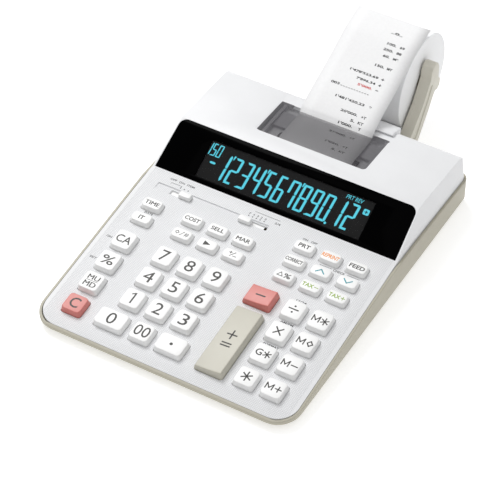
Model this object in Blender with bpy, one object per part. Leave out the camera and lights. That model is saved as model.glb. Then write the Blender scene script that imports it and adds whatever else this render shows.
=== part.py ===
"""A desk calculator with a built-in paper roll printer, resting on its feet.

Lengths in this file are millimetres, turned into metres as each mesh is made. Points are given with y
measured from the line where the keyboard deck meets the display slope, and SHIFT_Y centres the whole
object on the origin.
"""

import math

import bmesh
import bpy
from mathutils import Matrix, Vector

MM = 0.001
SHIFT_Y = -24.9

# Keyboard deck, display slope and raised printer section
HALF_WIDTH = 100.0
DECK_FRONT_Y = -154.6
DECK_TOP_Z = 26.55
DECK_SLOPE = math.radians(7.0)
DISPLAY_SLOPE = math.radians(29.1)
RIDGE_Y = 37.1
RIDGE_Z = 47.2
ROOF_REAR_Y = 97.0
ROOF_REAR_Z = 44.6
REAR_Y = 109.5
SIDE_DRAFT = 0.13
DRAFT_FROM_Z = 24.0
WALL = 2.2
DECK_WALL = 1.8
DISPLAY_WALL = 3.6
ROOF_WALL = 3.0
CLEARANCE = 0.3

# Beige tray
TRAY_HALF_WIDTH = 102.0
TRAY_WALL = 1.7
TRAY_FRONT_Y = -157.5
TRAY_REAR_Y = 111.5
TRAY_BOTTOM_Z = 1.2
TRAY_FLOOR_Z = 2.8
TRAY_UNDERCUT = 3.0
CORNER_FRONT = 14.0
CORNER_REAR = 9.0
BATTERY_X = (-94.0, -46.0)
BATTERY_Y = (58.0, 108.2)
INLET_X = (64.5, 75.5)
INLET_Z = (6.5, 17.5)
INLET_DEPTH = 9.0
INLET_WALL = 1.5

# Display window and LCD
WINDOW_HALF_BOTTOM = 97.6
WINDOW_HALF_TOP = 96.2
WINDOW_V = (0.6, 41.6)
WINDOW_THICK = 1.5
LCD_HALF = 66.7
LCD_V = (4.5, 34.5)

# Keys: column and row centres on the deck
COLUMN_PITCH = 20.77
LEFT_X = -78.6
DIGIT_X = -45.3
OPERATOR_X = 37.2
ROW_PITCH = 21.1
DIGIT_ROW_V = -72.0
BOTTOM_ROW_V = -135.9
SMALL_ROWS_V = (-19.4, -33.9, -48.6)
SMALL_KEY = (15.6, 9.6)
DIGIT_KEY = (15.7, 16.4)
BOTTOM_KEY_DEPTH = 15.5
SMALL_KEY_HEIGHT = 4.0
DIGIT_KEY_HEIGHT = 4.5
BROAD_KEY_HEIGHT = 5.15
BROAD_KEY_RISE = 2.1
KEY_DRAFT = 1.0
KEY_HOLE_GAP = 0.35
KEY_FLANGE = 1.0
KEY_FLANGE_THICK = 0.5
KEY_TRAVEL = 2.0
TROUGH_U = (-87.2, 4.3)
TROUGH_DEPTH = 0.75

# Printer bay
BAY_X = (-44.1, 45.3)
BAY_Y = (52.7, 92.3)
COVER_THICK = 1.2
COVER_DROP = 0.3
COVER_HINGE_Y = 90.9
NOTCH_X = (-33.5, 33.0)
NOTCH_Y = 87.9
PLATEN_YZ = (60.5, 35.5)
PLATEN_RADIUS = 6.5
ROD_YZ = (47.6, 34.0)
ROD_RADIUS = 1.5
FRAME_X = (-42.0, 44.0)
FRAME_SIDE = 2.4

# Paper and its holder
PAPER_X = (-27.4, 32.2)
PAPER_THICK = 0.4
ROLL_YZ = (169.5, 39.3)
ROLL_RADIUS = 37.8
CORE_RADIUS = 9.0
SPINDLE_YZ = (169.5, 42.5)
SPINDLE_RADIUS = 5.5
ARM_THICK = 9.0
ARM_GAP = 1.5
PIVOT_YZ = (118.2, 9.5)
PIVOT_RADIUS = 4.0

MATERIALS = {
    "white": ((0.83, 0.84, 0.86), 0.42, 0.0),
    "key_white": ((0.86, 0.86, 0.87), 0.38, 0.0),
    "beige": ((0.49, 0.47, 0.39), 0.45, 0.0),
    "key_beige": ((0.56, 0.54, 0.47), 0.4, 0.0),
    "pink": ((0.77, 0.30, 0.29), 0.4, 0.0),
    "gloss_black": ((0.012, 0.013, 0.015), 0.08, 0.0),
    "lcd": ((0.02, 0.02, 0.022), 0.2, 0.0),
    "smoke": ((0.25, 0.27, 0.30), 0.12, 0.75),
    "dark": ((0.05, 0.05, 0.055), 0.5, 0.0),
    "rubber": ((0.06, 0.06, 0.06), 0.85, 0.0),
    "paper": ((0.88, 0.88, 0.88), 0.8, 0.0),
    "board": ((0.33, 0.24, 0.09), 0.55, 0.0),
    "grey": ((0.45, 0.46, 0.48), 0.5, 0.0),
}


def slope_frame(origin, slope):
    return Matrix.Translation(origin) @ Matrix.Rotation(slope, 4, "X")


WORLD = Matrix.Identity(4)
DECK = slope_frame((0, 0, DECK_TOP_Z), DECK_SLOPE)
DISPLAY = slope_frame((0, 0, DECK_TOP_Z), DISPLAY_SLOPE)
ROOF_SLOPE = math.atan2(ROOF_REAR_Z - RIDGE_Z, ROOF_REAR_Y - RIDGE_Y)
ROOF = slope_frame((0, RIDGE_Y, RIDGE_Z), ROOF_SLOPE)


def clear_scene():
    for old in list(bpy.data.objects):
        bpy.data.objects.remove(old)


def material(name):
    """The Principled material of this name, made when it is first asked for."""
    found = bpy.data.materials.get(name)
    if found:
        return found
    colour, roughness, transmission = MATERIALS[name]
    made = bpy.data.materials.new(name)
    made.use_nodes = True
    shader = made.node_tree.nodes["Principled BSDF"]
    shader.inputs["Base Color"].default_value = (*colour, 1.0)
    shader.inputs["Roughness"].default_value = roughness
    shader.inputs["Transmission Weight"].default_value = transmission
    made.diffuse_color = (*colour, 1.0)
    return made


def mesh_object(name, points, faces, look=None, pivot=(0, 0, 0)):
    """An object from points in millimetres, with its origin at the pivot."""
    origin = Vector(pivot)
    shift = Vector((0, SHIFT_Y, 0))
    mesh = bpy.data.meshes.new(name)
    mesh.from_pydata([(Vector(p) - origin) * MM for p in points], [], faces)
    work = bmesh.new()
    work.from_mesh(mesh)
    bmesh.ops.recalc_face_normals(work, faces=work.faces)
    work.to_mesh(mesh)
    work.free()
    made = bpy.data.objects.new(name, mesh)
    made.location = (origin + shift) * MM
    bpy.context.scene.collection.objects.link(made)
    if look:
        mesh.materials.append(material(look))
    else:
        made.hide_render = True
        made.display_type = "WIRE"
    return made


def loft_faces(rings, start=0):
    """Faces of a closed body through rings that have the same number of points."""
    count = len(rings[0])
    faces = [tuple(range(start, start + count))]
    for row in range(len(rings) - 1):
        low = start + row * count
        for i in range(count):
            j = (i + 1) % count
            faces.append((low + i, low + j, low + count + j, low + count + i))
    last = start + (len(rings) - 1) * count
    faces.append(tuple(range(last, last + count)))
    return faces


def loft(name, rings, look=None, pivot=(0, 0, 0)):
    return lofts(name, [rings], look, pivot)


def lofts(name, bodies, look=None, pivot=(0, 0, 0)):
    """One object from several separate lofted bodies."""
    points = []
    faces = []
    for rings in bodies:
        faces += loft_faces(rings, len(points))
        for ring in rings:
            points += ring
    return mesh_object(name, points, faces, look, pivot)


def place(frame, outline, n):
    """An outline of (u, v) lifted to height n above the frame's plane."""
    return [frame @ Vector((u, v, n)) for u, v in outline]


def slab(frame, outline, n_low, n_high):
    return [place(frame, outline, n_low), place(frame, outline, n_high)]


def across(profile, x_low, x_high):
    """Rings of a prism along X with a (y, z) profile."""
    return [[Vector((x, y, z)) for y, z in profile] for x in (x_low, x_high)]


def rectangle(u_low, u_high, v_low, v_high):
    return [(u_low, v_low), (u_high, v_low), (u_high, v_high), (u_low, v_high)]


def rounded(u_low, u_high, v_low, v_high, front, rear=None, steps=1):
    """A rectangle with rounded corners, of one radius in front and one at the rear."""
    rear = front if rear is None else rear
    corners = (
        (u_low + front, v_low + front, front, 180),
        (u_high - front, v_low + front, front, 270),
        (u_high - rear, v_high - rear, rear, 0),
        (u_low + rear, v_high - rear, rear, 90),
    )
    outline = []
    for u, v, radius, start in corners:
        for step in range(steps + 1):
            angle = math.radians(start + 90 * step / steps)
            outline.append((u + radius * math.cos(angle), v + radius * math.sin(angle)))
    return outline


def circle_yz(centre, radius, segments, turn=0.0):
    points = []
    for i in range(segments):
        angle = turn + 2 * math.pi * i / segments
        points.append((centre[0] + radius * math.cos(angle), centre[1] + radius * math.sin(angle)))
    return points


def spindle(centre, steps, segments):
    """Rings of a round body along X from (x, radius) steps."""
    rings = []
    for x, radius in steps:
        rings.append([Vector((x, y, z)) for y, z in circle_yz(centre, radius, segments)])
    return rings


def boolean(target, other, operation):
    made = target.modifiers.new(other.name, "BOOLEAN")
    made.object = other
    made.operation = operation
    made.solver = "EXACT"


def cut(target, other):
    boolean(target, other, "DIFFERENCE")


def fuse(target, other):
    boolean(target, other, "UNION")


def inset(profile, amounts):
    """A closed (y, z) profile, counter-clockwise, with each edge moved inward by its own amount."""
    count = len(profile)
    lines = []
    for i in range(count):
        (y0, z0), (y1, z1) = profile[i], profile[(i + 1) % count]
        length = math.hypot(y1 - y0, z1 - z0)
        normal = (-(z1 - z0) / length, (y1 - y0) / length)
        offset = normal[0] * y0 + normal[1] * z0 + amounts[i]
        lines.append((normal, offset))
    moved = []
    for i in range(count):
        (a, d), (b, e) = lines[i - 1], lines[i]
        det = a[0] * b[1] - a[1] * b[0]
        moved.append(((d * b[1] - e * a[1]) / det, (a[0] * e - b[0] * d) / det))
    return moved


def deck_z(y):
    return DECK_TOP_Z + y * math.tan(DECK_SLOPE)


def case_profile():
    """The top case from the side, from the front bottom corner round, with the wall of each edge."""
    open_edge = -30.0
    front, rear = DECK_FRONT_Y - 0.5, REAR_Y + 0.4
    centre = (rear - 13.0, ROOF_REAR_Z - 13.2)
    points = [(front, 5.2), (0.0, 23.9), (3.0, 19.5), (rear, 19.5)]
    walls = [open_edge, open_edge, open_edge, WALL]
    for step in range(5):
        angle = math.radians(4 + 80 * step / 4)
        points.append((centre[0] + 13 * math.cos(angle), centre[1] + 13 * math.sin(angle)))
        walls.append(WALL if step < 3 else ROOF_WALL)
    points += [(RIDGE_Y, RIDGE_Z), (0.0, DECK_TOP_Z), (front, deck_z(front))]
    walls += [DISPLAY_WALL, DECK_WALL, WALL]
    return points, walls


def plan_rings(levels):
    """Rings of a body seen from above, from (z, half width, front y, rear y, front radius, rear radius)."""
    rings = []
    for z, half, front_y, rear_y, front, rear in levels:
        rings.append(place(WORLD, rounded(-half, half, front_y, rear_y, front, rear, 4), z))
    return rings


def key_columns():
    return [start + COLUMN_PITCH * i for start in (DIGIT_X, OPERATOR_X) for i in range(3)]


def key_layout():
    """(name, look, u, v, width, depth, height) of each key."""
    c1, c2, c3, c4, c5, c6 = key_columns()
    top, middle, low = SMALL_ROWS_V
    rows = [DIGIT_ROW_V - ROW_PITCH * i for i in range(3)]
    layout = []

    def add(name, u, v, size, height, look="key_white"):
        layout.append((name, look, u, v, size[0], size[1], height))

    small = (
        ("key_print", c4, top), ("key_reprint", c5, top), ("key_feed", c6, top),
        ("key_time", LEFT_X, middle), ("key_cost", c1, middle), ("key_sell", c2, middle),
        ("key_margin", c3, middle),
        ("key_correct", c4, middle), ("key_up", c5, middle), ("key_down", c6, middle),
        ("key_items", LEFT_X, low), ("key_number", c1, low), ("key_play", c2, low), ("key_sign", c3, low),
        ("key_change", c4, low), ("key_tax_minus", c5, low), ("key_tax_plus", c6, low),
    )
    for name, u, v in small:
        add(name, u, v, SMALL_KEY, SMALL_KEY_HEIGHT)
    large = (
        ("key_clear_all", LEFT_X, rows[0]), ("key_percent", LEFT_X, rows[1]), ("key_markup", LEFT_X, rows[2]),
        ("key_7", c1, rows[0]), ("key_8", c2, rows[0]), ("key_9", c3, rows[0]),
        ("key_4", c1, rows[1]), ("key_5", c2, rows[1]), ("key_6", c3, rows[1]),
        ("key_1", c1, rows[2]), ("key_2", c2, rows[2]), ("key_3", c3, rows[2]),
        ("key_divide", c5, rows[0]), ("key_memory_total", c6, rows[0]),
        ("key_multiply", c5, rows[1]), ("key_memory_subtotal", c6, rows[1]),
        ("key_grand_total", c5, rows[2]), ("key_memory_minus", c6, rows[2]),
    )
    for name, u, v in large:
        add(name, u, v, DIGIT_KEY, DIGIT_KEY_HEIGHT)
    bottom = (DIGIT_KEY[0], BOTTOM_KEY_DEPTH)
    add("key_clear", LEFT_X + 0.2, BOTTOM_ROW_V, bottom, DIGIT_KEY_HEIGHT, "pink")
    add("key_0", -48.7, BOTTOM_ROW_V, (22.8, BOTTOM_KEY_DEPTH), DIGIT_KEY_HEIGHT)
    add("key_00", c2 + 0.4, BOTTOM_ROW_V, bottom, DIGIT_KEY_HEIGHT)
    add("key_point", -0.9, BOTTOM_ROW_V, (21.4, BOTTOM_KEY_DEPTH), DIGIT_KEY_HEIGHT)
    add("key_total", c5, BOTTOM_ROW_V, bottom, DIGIT_KEY_HEIGHT)
    add("key_memory_plus", c6, BOTTOM_ROW_V, bottom, DIGIT_KEY_HEIGHT)
    add("key_minus", 32.1, DIGIT_ROW_V, (21.4, 16.0), BROAD_KEY_HEIGHT, "pink")
    add("key_plus_equals", 32.0, -114.8, (22.0, 58.5), BROAD_KEY_HEIGHT, "key_beige")
    return layout


def key_outline(u, v, width, depth, grow, corner):
    half_u, half_v = width / 2 + grow, depth / 2 + grow
    return rounded(u - half_u, u + half_u, v - half_v, v + half_v, corner)


def build_key(name, look, u, v, width, depth, height):
    """A cap with drafted sides on a flange wider than its hole. The two broad caps rise to the right."""
    top = -DECK_WALL - CLEARANCE
    rise = BROAD_KEY_RISE if height == BROAD_KEY_HEIGHT else 0.0
    sections = (
        (top - KEY_FLANGE_THICK, KEY_FLANGE, 1.5, 0.0),
        (top, KEY_FLANGE, 1.5, 0.0),
        (top, 0.0, 1.5, 0.0),
        (0.4, 0.0, 1.5, 0.0),
        (height - 0.5, -KEY_DRAFT + 0.15, 1.8, rise),
        (height, -KEY_DRAFT - 0.35, 1.6, rise),
    )
    rings = []
    for n, grow, corner, slope in sections:
        outline = key_outline(u, v, width, depth, grow, corner)
        rings.append([DECK @ Vector((pu, pv, n + slope * (pu - u) / width)) for pu, pv in outline])
    return loft(name, rings, look, DECK @ Vector((u, v, 0)))


def slide_switch(name, neck, cap, height):
    """A slide knob: neck through the slot, cap above the deck and a retaining plate below it."""
    plate = (neck[0] - 0.6, neck[1] + 0.6, neck[2] - 1.4, neck[3] + 1.4)
    low = -DECK_WALL - CLEARANCE
    top = (cap[0] + 0.5, cap[1] - 0.5, cap[2] + 0.5, cap[3] - 0.5)
    sections = (
        (low - 0.9, plate), (low, plate), (low, neck), (0.3, neck),
        (0.3, cap), (height - 0.6, cap), (height, top),
    )
    rings = [place(DECK, rectangle(*limits), n) for n, limits in sections]
    centre = DECK @ Vector(((cap[0] + cap[1]) / 2, (cap[2] + cap[3]) / 2, 0))
    return loft(name, rings, "key_white", centre)


SWITCHES = {
    "switch_knob_left": (
        (-66.4, -57.6, -17.5, -13.9), (-67.2, -57.4, -18.4, -13.3), 3.3, (-75.0, -57.2, -17.9, -13.5),
    ),
    "switch_knob_right": (
        (-17.8, -8.6, -16.1, -13.3), (-18.2, -8.2, -18.1, -13.0), 3.3, (-18.3, 4.1, -16.5, -12.9),
    ),
}


def window_outline(grow):
    low, high = WINDOW_V
    radius = 6.0
    outline = [(-WINDOW_HALF_BOTTOM - grow, low - grow), (WINDOW_HALF_BOTTOM + grow, low - grow)]
    for step in range(4):
        angle = math.radians(90 * step / 3)
        reach = radius + grow
        across_u, along_v = reach * math.cos(angle), reach * math.sin(angle)
        outline.append((WINDOW_HALF_TOP - radius + across_u, high - radius + along_v))
    for u, v in reversed(outline[2:6]):
        outline.append((-u, v))
    return outline


def build_top_case():
    """The white shell: keyboard deck, display slope and raised printer section in one moulding."""
    profile, walls = case_profile()
    high = 60.0
    half_high = HALF_WIDTH - (high - DRAFT_FROM_Z) * SIDE_DRAFT
    fronts = (DECK_FRONT_Y, REAR_Y, CORNER_FRONT - 2, CORNER_REAR - 2)
    shell = loft("top_case", plan_rings((
        (0.0, HALF_WIDTH, *fronts),
        (DRAFT_FROM_Z, HALF_WIDTH, *fronts),
        (high, half_high, *fronts),
    )), "white")
    boolean(shell, loft("case_side_view", across(profile, -120, 120)), "INTERSECT")
    cavity_fronts = (DECK_FRONT_Y + WALL, REAR_Y - WALL, CORNER_FRONT - 2 - WALL, CORNER_REAR - 2 - WALL)
    cavity = loft("case_cavity", plan_rings((
        (-5.0, HALF_WIDTH - WALL, *cavity_fronts),
        (DRAFT_FROM_Z, HALF_WIDTH - WALL, *cavity_fronts),
        (high, half_high - WALL, *cavity_fronts),
    )))
    boolean(cavity, loft("cavity_side_view", across(inset(profile, walls), -120, 120)), "INTERSECT")
    cut(shell, cavity)
    cut(shell, lofts("case_key_holes", [
        slab(DECK, key_outline(u, v, width, depth, KEY_HOLE_GAP, 1.5), -8, 4)
        for _, _, u, v, width, depth, _ in key_layout()
    ]))
    trough = ((-19.8, 0.05), (-19.8, 3.0), (-11.7, 3.0), (-11.7, -TROUGH_DEPTH))
    cut(shell, loft("case_switch_trough", [
        [DECK @ Vector((u, v, n)) for v, n in trough] for u in TROUGH_U
    ]))
    cut(shell, lofts("case_switch_slots", [
        slab(DECK, rectangle(*slot), -8, 4) for _, _, _, slot in SWITCHES.values()
    ]))
    pocket = slab(DISPLAY, window_outline(CLEARANCE), -WINDOW_THICK - CLEARANCE, 8)
    cut(shell, loft("case_window_pocket", pocket))
    cut(shell, loft("case_lcd_opening", slab(DISPLAY, rectangle(-LCD_HALF, LCD_HALF, *LCD_V), -12, 2)))
    cut(shell, loft("case_printer_bay", slab(WORLD, rectangle(*BAY_X, *BAY_Y), 38, 60)))
    channel = rectangle(-49.5, 46.6, BAY_Y[1] - RIDGE_Y - 3, 90)
    cut(shell, loft("case_paper_channel", slab(ROOF, channel, -1.4, 9)))
    finger = rectangle(-48.2, BAY_X[0] + 3, BAY_Y[0] - RIDGE_Y + 0.5, 43)
    cut(shell, loft("case_finger_recess", slab(ROOF, finger, -1.2, 9)))
    cut(shell, loft("case_paper_inlet", across(rectangle(REAR_Y - 8, REAR_Y + 8, 23.5, 30.0), -30.5, 35.3)))
    ledge = ((96.6, 41.0), (109.0, 34.5), (111.2, 41.0), (110.6, 43.4), (100.0, 46.0), (96.6, 45.2))
    fuse(shell, loft("case_rear_ledge", across(ledge, -27.0, 45.0)))
    return shell


def tray_levels(grow, low_z, floor):
    """Plan levels of the tray, drawn in below by the undercut."""
    half = TRAY_HALF_WIDTH + grow
    front_y, rear_y = TRAY_FRONT_Y - grow, TRAY_REAR_Y + grow
    front, rear = CORNER_FRONT + grow, CORNER_REAR + grow
    tuck = TRAY_UNDERCUT
    return (
        (low_z, half - tuck, front_y + tuck, rear_y - tuck, front - tuck, rear - tuck),
        (floor, half, front_y, rear_y, front, rear),
        (45.0, half, front_y, rear_y, front, rear),
    )


def build_bottom_case():
    """The beige tray whose rim shows all round the top case, with the holder's bearings behind it."""
    tray = loft("bottom_case", plan_rings(tray_levels(0.0, TRAY_BOTTOM_Z, 5.0)), "beige")
    rim = [
        (TRAY_FRONT_Y - 5, -5), (TRAY_REAR_Y + 5, -5), (TRAY_REAR_Y + 5, 22.0), (66, 23.7), (27, 25.0),
        (-11, 25.15), (TRAY_FRONT_Y + 1.2, deck_z(TRAY_FRONT_Y + 1.2) - 0.1), (TRAY_FRONT_Y - 5, 5.6),
    ]
    boolean(tray, loft("tray_side_view", across(rim, -120, 120)), "INTERSECT")
    cavity = loft("tray_cavity", plan_rings(tray_levels(-TRAY_WALL, TRAY_FLOOR_Z, 6.2)))
    front_wall = rectangle(-120, 120, TRAY_FRONT_Y - 5, DECK_FRONT_Y - CLEARANCE)
    front = loft("tray_front_wall", slab(WORLD, front_wall, -5, 50))
    cut(cavity, front)
    cut(tray, cavity)
    door_x = (BATTERY_X[0] - CLEARANCE, BATTERY_X[1] + CLEARANCE)
    door = rectangle(*door_x, BATTERY_Y[0] - CLEARANCE, TRAY_REAR_Y + 5)
    cut(tray, loft("tray_battery_opening", slab(WORLD, door, -2, TRAY_FLOOR_Z + 0.3)))
    blind_y = TRAY_REAR_Y - INLET_DEPTH
    housing_x = (INLET_X[0] - INLET_WALL, INLET_X[1] + INLET_WALL)
    housing = rectangle(*housing_x, blind_y - INLET_WALL, TRAY_REAR_Y - 0.8)
    fuse(tray, loft("tray_inlet_housing", slab(WORLD, housing, TRAY_FLOOR_Z - 0.8, INLET_Z[1] + 1.2)))
    power_inlet = rectangle(*INLET_X, blind_y, TRAY_REAR_Y + 4)
    cut(tray, loft("tray_power_inlet", slab(WORLD, power_inlet, *INLET_Z)))
    paper_inlet = rectangle(TRAY_REAR_Y - 6, TRAY_REAR_Y + 6, 20.5, 40.0)
    cut(tray, loft("tray_paper_inlet", across(paper_inlet, -30.5, 35.3)))
    y, z = PIVOT_YZ
    lug = (
        (TRAY_REAR_Y - 1.2, 4.5), (y, 2.6), (y + 5.5, 4.5), (y + 7, z), (y + 5, z + 5.2), (y, z + 6.8),
        (TRAY_REAR_Y - 1.2, z + 7.5),
    )
    for i, x_low in enumerate((-22.0, 17.0)):
        fuse(tray, loft(f"tray_lug_{i}", across(lug, x_low, x_low + 10)))
    bore = circle_yz(PIVOT_YZ, PIVOT_RADIUS + CLEARANCE, 20)
    cut(tray, loft("tray_pivot_bore", across(bore, -26, 31)))
    return tray


def build_display():
    loft("display_window", slab(DISPLAY, window_outline(0.0), -WINDOW_THICK, 0.0), "gloss_black")
    under = -DISPLAY_WALL - CLEARANCE
    panel = rectangle(-LCD_HALF - 3, LCD_HALF + 3, LCD_V[0] - 2, LCD_V[1] + 2.5)
    loft("lcd_panel", slab(DISPLAY, panel, under - 2.6, under), "lcd")


def build_printer_cover():
    """The clear lid, notched at the rear where the paper comes out, hinged between its two rear tabs."""
    gap = CLEARANCE
    x_low, x_high = BAY_X[0] + gap, BAY_X[1] - gap
    y_low, y_high = BAY_Y[0] + gap, BAY_Y[1] - 0.6
    outline = [(x_low, y_low), (x_high - 5, y_low)]
    for angle in (30, 60, 90):
        turn = math.radians(angle)
        outline.append((x_high - 5 + 5 * math.sin(turn), y_low + 5 - 5 * math.cos(turn)))
    outline += [(x_high, y_high), (NOTCH_X[1], y_high), (NOTCH_X[1], NOTCH_Y)]
    outline += [(NOTCH_X[0], NOTCH_Y), (NOTCH_X[0], y_high), (x_low, y_high)]
    outline = [(x, y - RIDGE_Y) for x, y in outline]
    top = -COVER_DROP
    pivot = ROOF @ Vector((0, COVER_HINGE_Y - RIDGE_Y, top - COVER_THICK / 2))
    loft("printer_cover", slab(ROOF, outline, top - COVER_THICK, top), "smoke", pivot)


def build_printer():
    """Frame with two side plates, platen roller and the carriage on its rod."""
    x_low, x_high = FRAME_X
    side = ((43.0, 12.0), (101.0, 12.0), (101.0, 36.0), (95.0, 41.0), (86.0, 42.0), (43.0, 42.0))
    frame = loft("printer_frame", across(side, x_low, x_low + FRAME_SIDE), "dark")
    fuse(frame, loft("frame_right_side", across(side, x_high - FRAME_SIDE, x_high)))
    fuse(frame, loft("frame_base", across(rectangle(44.0, 98.0, 13.0, 15.4), x_low + 0.5, x_high - 0.5)))
    guide = ((70, 38.2), (86, 38.6), (86, 40.6), (70, 40.4))
    fuse(frame, loft("frame_guide", across(guide, x_low + 0.5, x_high - 0.5)))
    rod = across(circle_yz(ROD_YZ, ROD_RADIUS, 12), x_low + 0.5, x_high - 0.5)
    fuse(frame, loft("frame_rod", rod))
    axle_bore = across(circle_yz(PLATEN_YZ, 2.3, 16), x_low - 5, x_high + 5)
    cut(frame, loft("frame_axle_bore", axle_bore))
    pivot = (0, *PLATEN_YZ)
    steps = ((x_low - 1.2, 2.0), (PAPER_X[0] - 2, 2.0), (PAPER_X[0] - 2, PLATEN_RADIUS),
             (PAPER_X[1] + 2, PLATEN_RADIUS), (PAPER_X[1] + 2, 2.0), (x_high + 1.2, 2.0))
    loft("platen_roller", spindle(PLATEN_YZ, steps, 24), "rubber", pivot)
    body = ((43.6, 26.0), (52.6, 26.0), (52.8, 39.6), (50.5, 41.2), (43.6, 41.2))
    carriage = loft("print_carriage", across(body, -38.8, -20.3), "grey", (-29.5, *ROD_YZ))
    cut(carriage, loft("carriage_bore", across(circle_yz(ROD_YZ, ROD_RADIUS + CLEARANCE, 12), -50, -10)))


def arc_yz(centre, radius, start, end, steps):
    points = []
    for i in range(steps + 1):
        angle = math.radians(start + (end - start) * i / steps)
        points.append((centre[0] + radius * math.cos(angle), centre[1] + radius * math.sin(angle)))
    return points


def paper_path():
    """The paper's middle line: off the roll, in at the rear, round the platen and out over the roll."""
    reach = ROLL_RADIUS + 0.6
    wrap = PLATEN_RADIUS + 0.5
    path = arc_yz(ROLL_YZ, reach, -78, -116.8, 4)
    path += [(124.0, 20.0), (111.0, 26.6), (100.0, 29.0), (80.0, 29.0)]
    path += arc_yz(PLATEN_YZ, wrap, -85, -275, 10)
    path += [(76.0, 42.3), (85.8, 42.3), (88.2, 43.3), (90.3, 45.3), (94.0, 48.0), (109.3, 55.2)]
    path += [(132.0, 64.4), (154.2, 75.0), (161.5, 77.7), (169.5, 79.8), (174.0, 80.9), (178.0, 81.7)]
    return path


def ribbon(path, thick):
    """A closed outline of even thickness round an open path."""
    left = []
    right = []
    for i, (y, z) in enumerate(path):
        before = path[max(i - 1, 0)]
        after = path[min(i + 1, len(path) - 1)]
        step_y, step_z = after[0] - before[0], after[1] - before[1]
        length = math.hypot(step_y, step_z)
        off_y, off_z = -step_z / length * thick / 2, step_y / length * thick / 2
        left.append((y + off_y, z + off_z))
        right.append((y - off_y, z - off_z))
    return left + right[::-1]


def build_paper():
    low_x, high_x = PAPER_X
    bore = [(low_x, CORE_RADIUS), (low_x, ROLL_RADIUS), (high_x, ROLL_RADIUS), (high_x, CORE_RADIUS)]
    segments = 48
    rings = spindle(ROLL_YZ, bore, segments)
    points = [p for ring in rings for p in ring]
    faces = []
    for row in range(4):
        low, high = row * segments, (row + 1) % 4 * segments
        for i in range(segments):
            j = (i + 1) % segments
            faces.append((low + i, low + j, high + j, high + i))
    mesh_object("paper_roll", points, faces, "paper", (0, *ROLL_YZ))
    path = paper_path()
    outline = ribbon(path, PAPER_THICK)
    count = len(path)
    points = [Vector((x, y, z)) for x in PAPER_X for y, z in outline]
    total = len(outline)
    faces = []
    for i in range(count - 1):
        faces.append((i, i + 1, total - 2 - i, total - 1 - i))
        faces.append((total + i, 2 * total - 1 - i, 2 * total - 2 - i, total + i + 1))
    for i in range(total):
        j = (i + 1) % total
        faces.append((i, j, total + j, total + i))
    mesh_object("paper_strip", points, faces, "paper")


def build_paper_holder():
    """Two arms on the crossbar that turns in the tray's bearings, each with a boss in the roll's core."""
    y, z = PIVOT_YZ
    arm = [
        (y - 4.6, z - 2.6), (y - 1.5, z - 5.2), (140.0, 2.4), (146.4, 2.6), (161.5, 21.3), (170.3, 34.0),
        (174.2, 32.4), (178.2, 34.8), (178.4, 40.4), (175.4, 44.0), (175.1, 54.6), (173.0, 58.9),
        (168.9, 60.9), (164.8, 59.4), (162.7, 55.4), (161.9, 49.1), (150.4, 32.5), (131.9, 14.4),
        (y + 0.5, 15.2), (y - 3.6, 13.2), (y - 5.2, z + 0.6),
    ]
    left = PAPER_X[0] - ARM_GAP
    right = PAPER_X[1] + ARM_GAP
    holder = loft("paper_holder", across(arm, right, right + ARM_THICK), "key_beige", (0, *PIVOT_YZ))
    fuse(holder, loft("holder_left_arm", across(arm, left - ARM_THICK, left)))
    fuse(holder, loft("holder_crossbar", across(circle_yz(PIVOT_YZ, PIVOT_RADIUS, 20), left - 2, right + 2)))
    boss = circle_yz(SPINDLE_YZ, SPINDLE_RADIUS, 20)
    fuse(holder, loft("holder_left_boss", across(boss, left - 2, left + 7)))
    fuse(holder, loft("holder_right_boss", across(boss, right - 7, right + 2)))
    stop = rectangle(TRAY_REAR_Y + CLEARANCE, y, z - 5.5, z - 2.0)
    fuse(holder, loft("holder_stop", across(stop, -7, 12)))
    for side, x in (("left", left - ARM_THICK), ("right", right + ARM_THICK)):
        groove = ((134.5, 10.5), (142.5, 8.0), (160.5, 33.0), (166.0, 43.0), (161.0, 43.5), (148.5, 26.0))
        cut(holder, loft(f"holder_{side}_groove", across(groove, x - 0.8, x + 0.8)))


def build_underside():
    plate = rectangle(*BATTERY_X, *BATTERY_Y)
    loft("battery_cover", slab(WORLD, plate, TRAY_BOTTOM_Z, TRAY_FLOOR_Z), "beige")
    top = TRAY_BOTTOM_Z - CLEARANCE
    loft("front_foot", slab(WORLD, rounded(-84, 84, -149.5, -141.5, 2.5), 0.0, top), "rubber")
    loft("rear_foot", slab(WORLD, rounded(-40, 84, 93.0, 101.0, 2.5), 0.0, top), "rubber")
    under = -DECK_WALL - CLEARANCE - KEY_FLANGE_THICK - KEY_TRAVEL - 0.2
    loft("main_board", slab(DECK, rectangle(-91, 91, -145.6, -6.5), under - 0.8, under), "board")


def main():
    clear_scene()
    build_top_case()
    build_bottom_case()
    build_display()
    build_printer_cover()
    build_printer()
    build_paper()
    build_paper_holder()
    build_underside()
    for key in key_layout():
        build_key(*key)
    for name, (neck, cap, height, _) in SWITCHES.items():
        slide_switch(name, neck, cap, height)


main()
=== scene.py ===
import math

import bmesh
import bpy
from mathutils import Matrix, Vector


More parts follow.
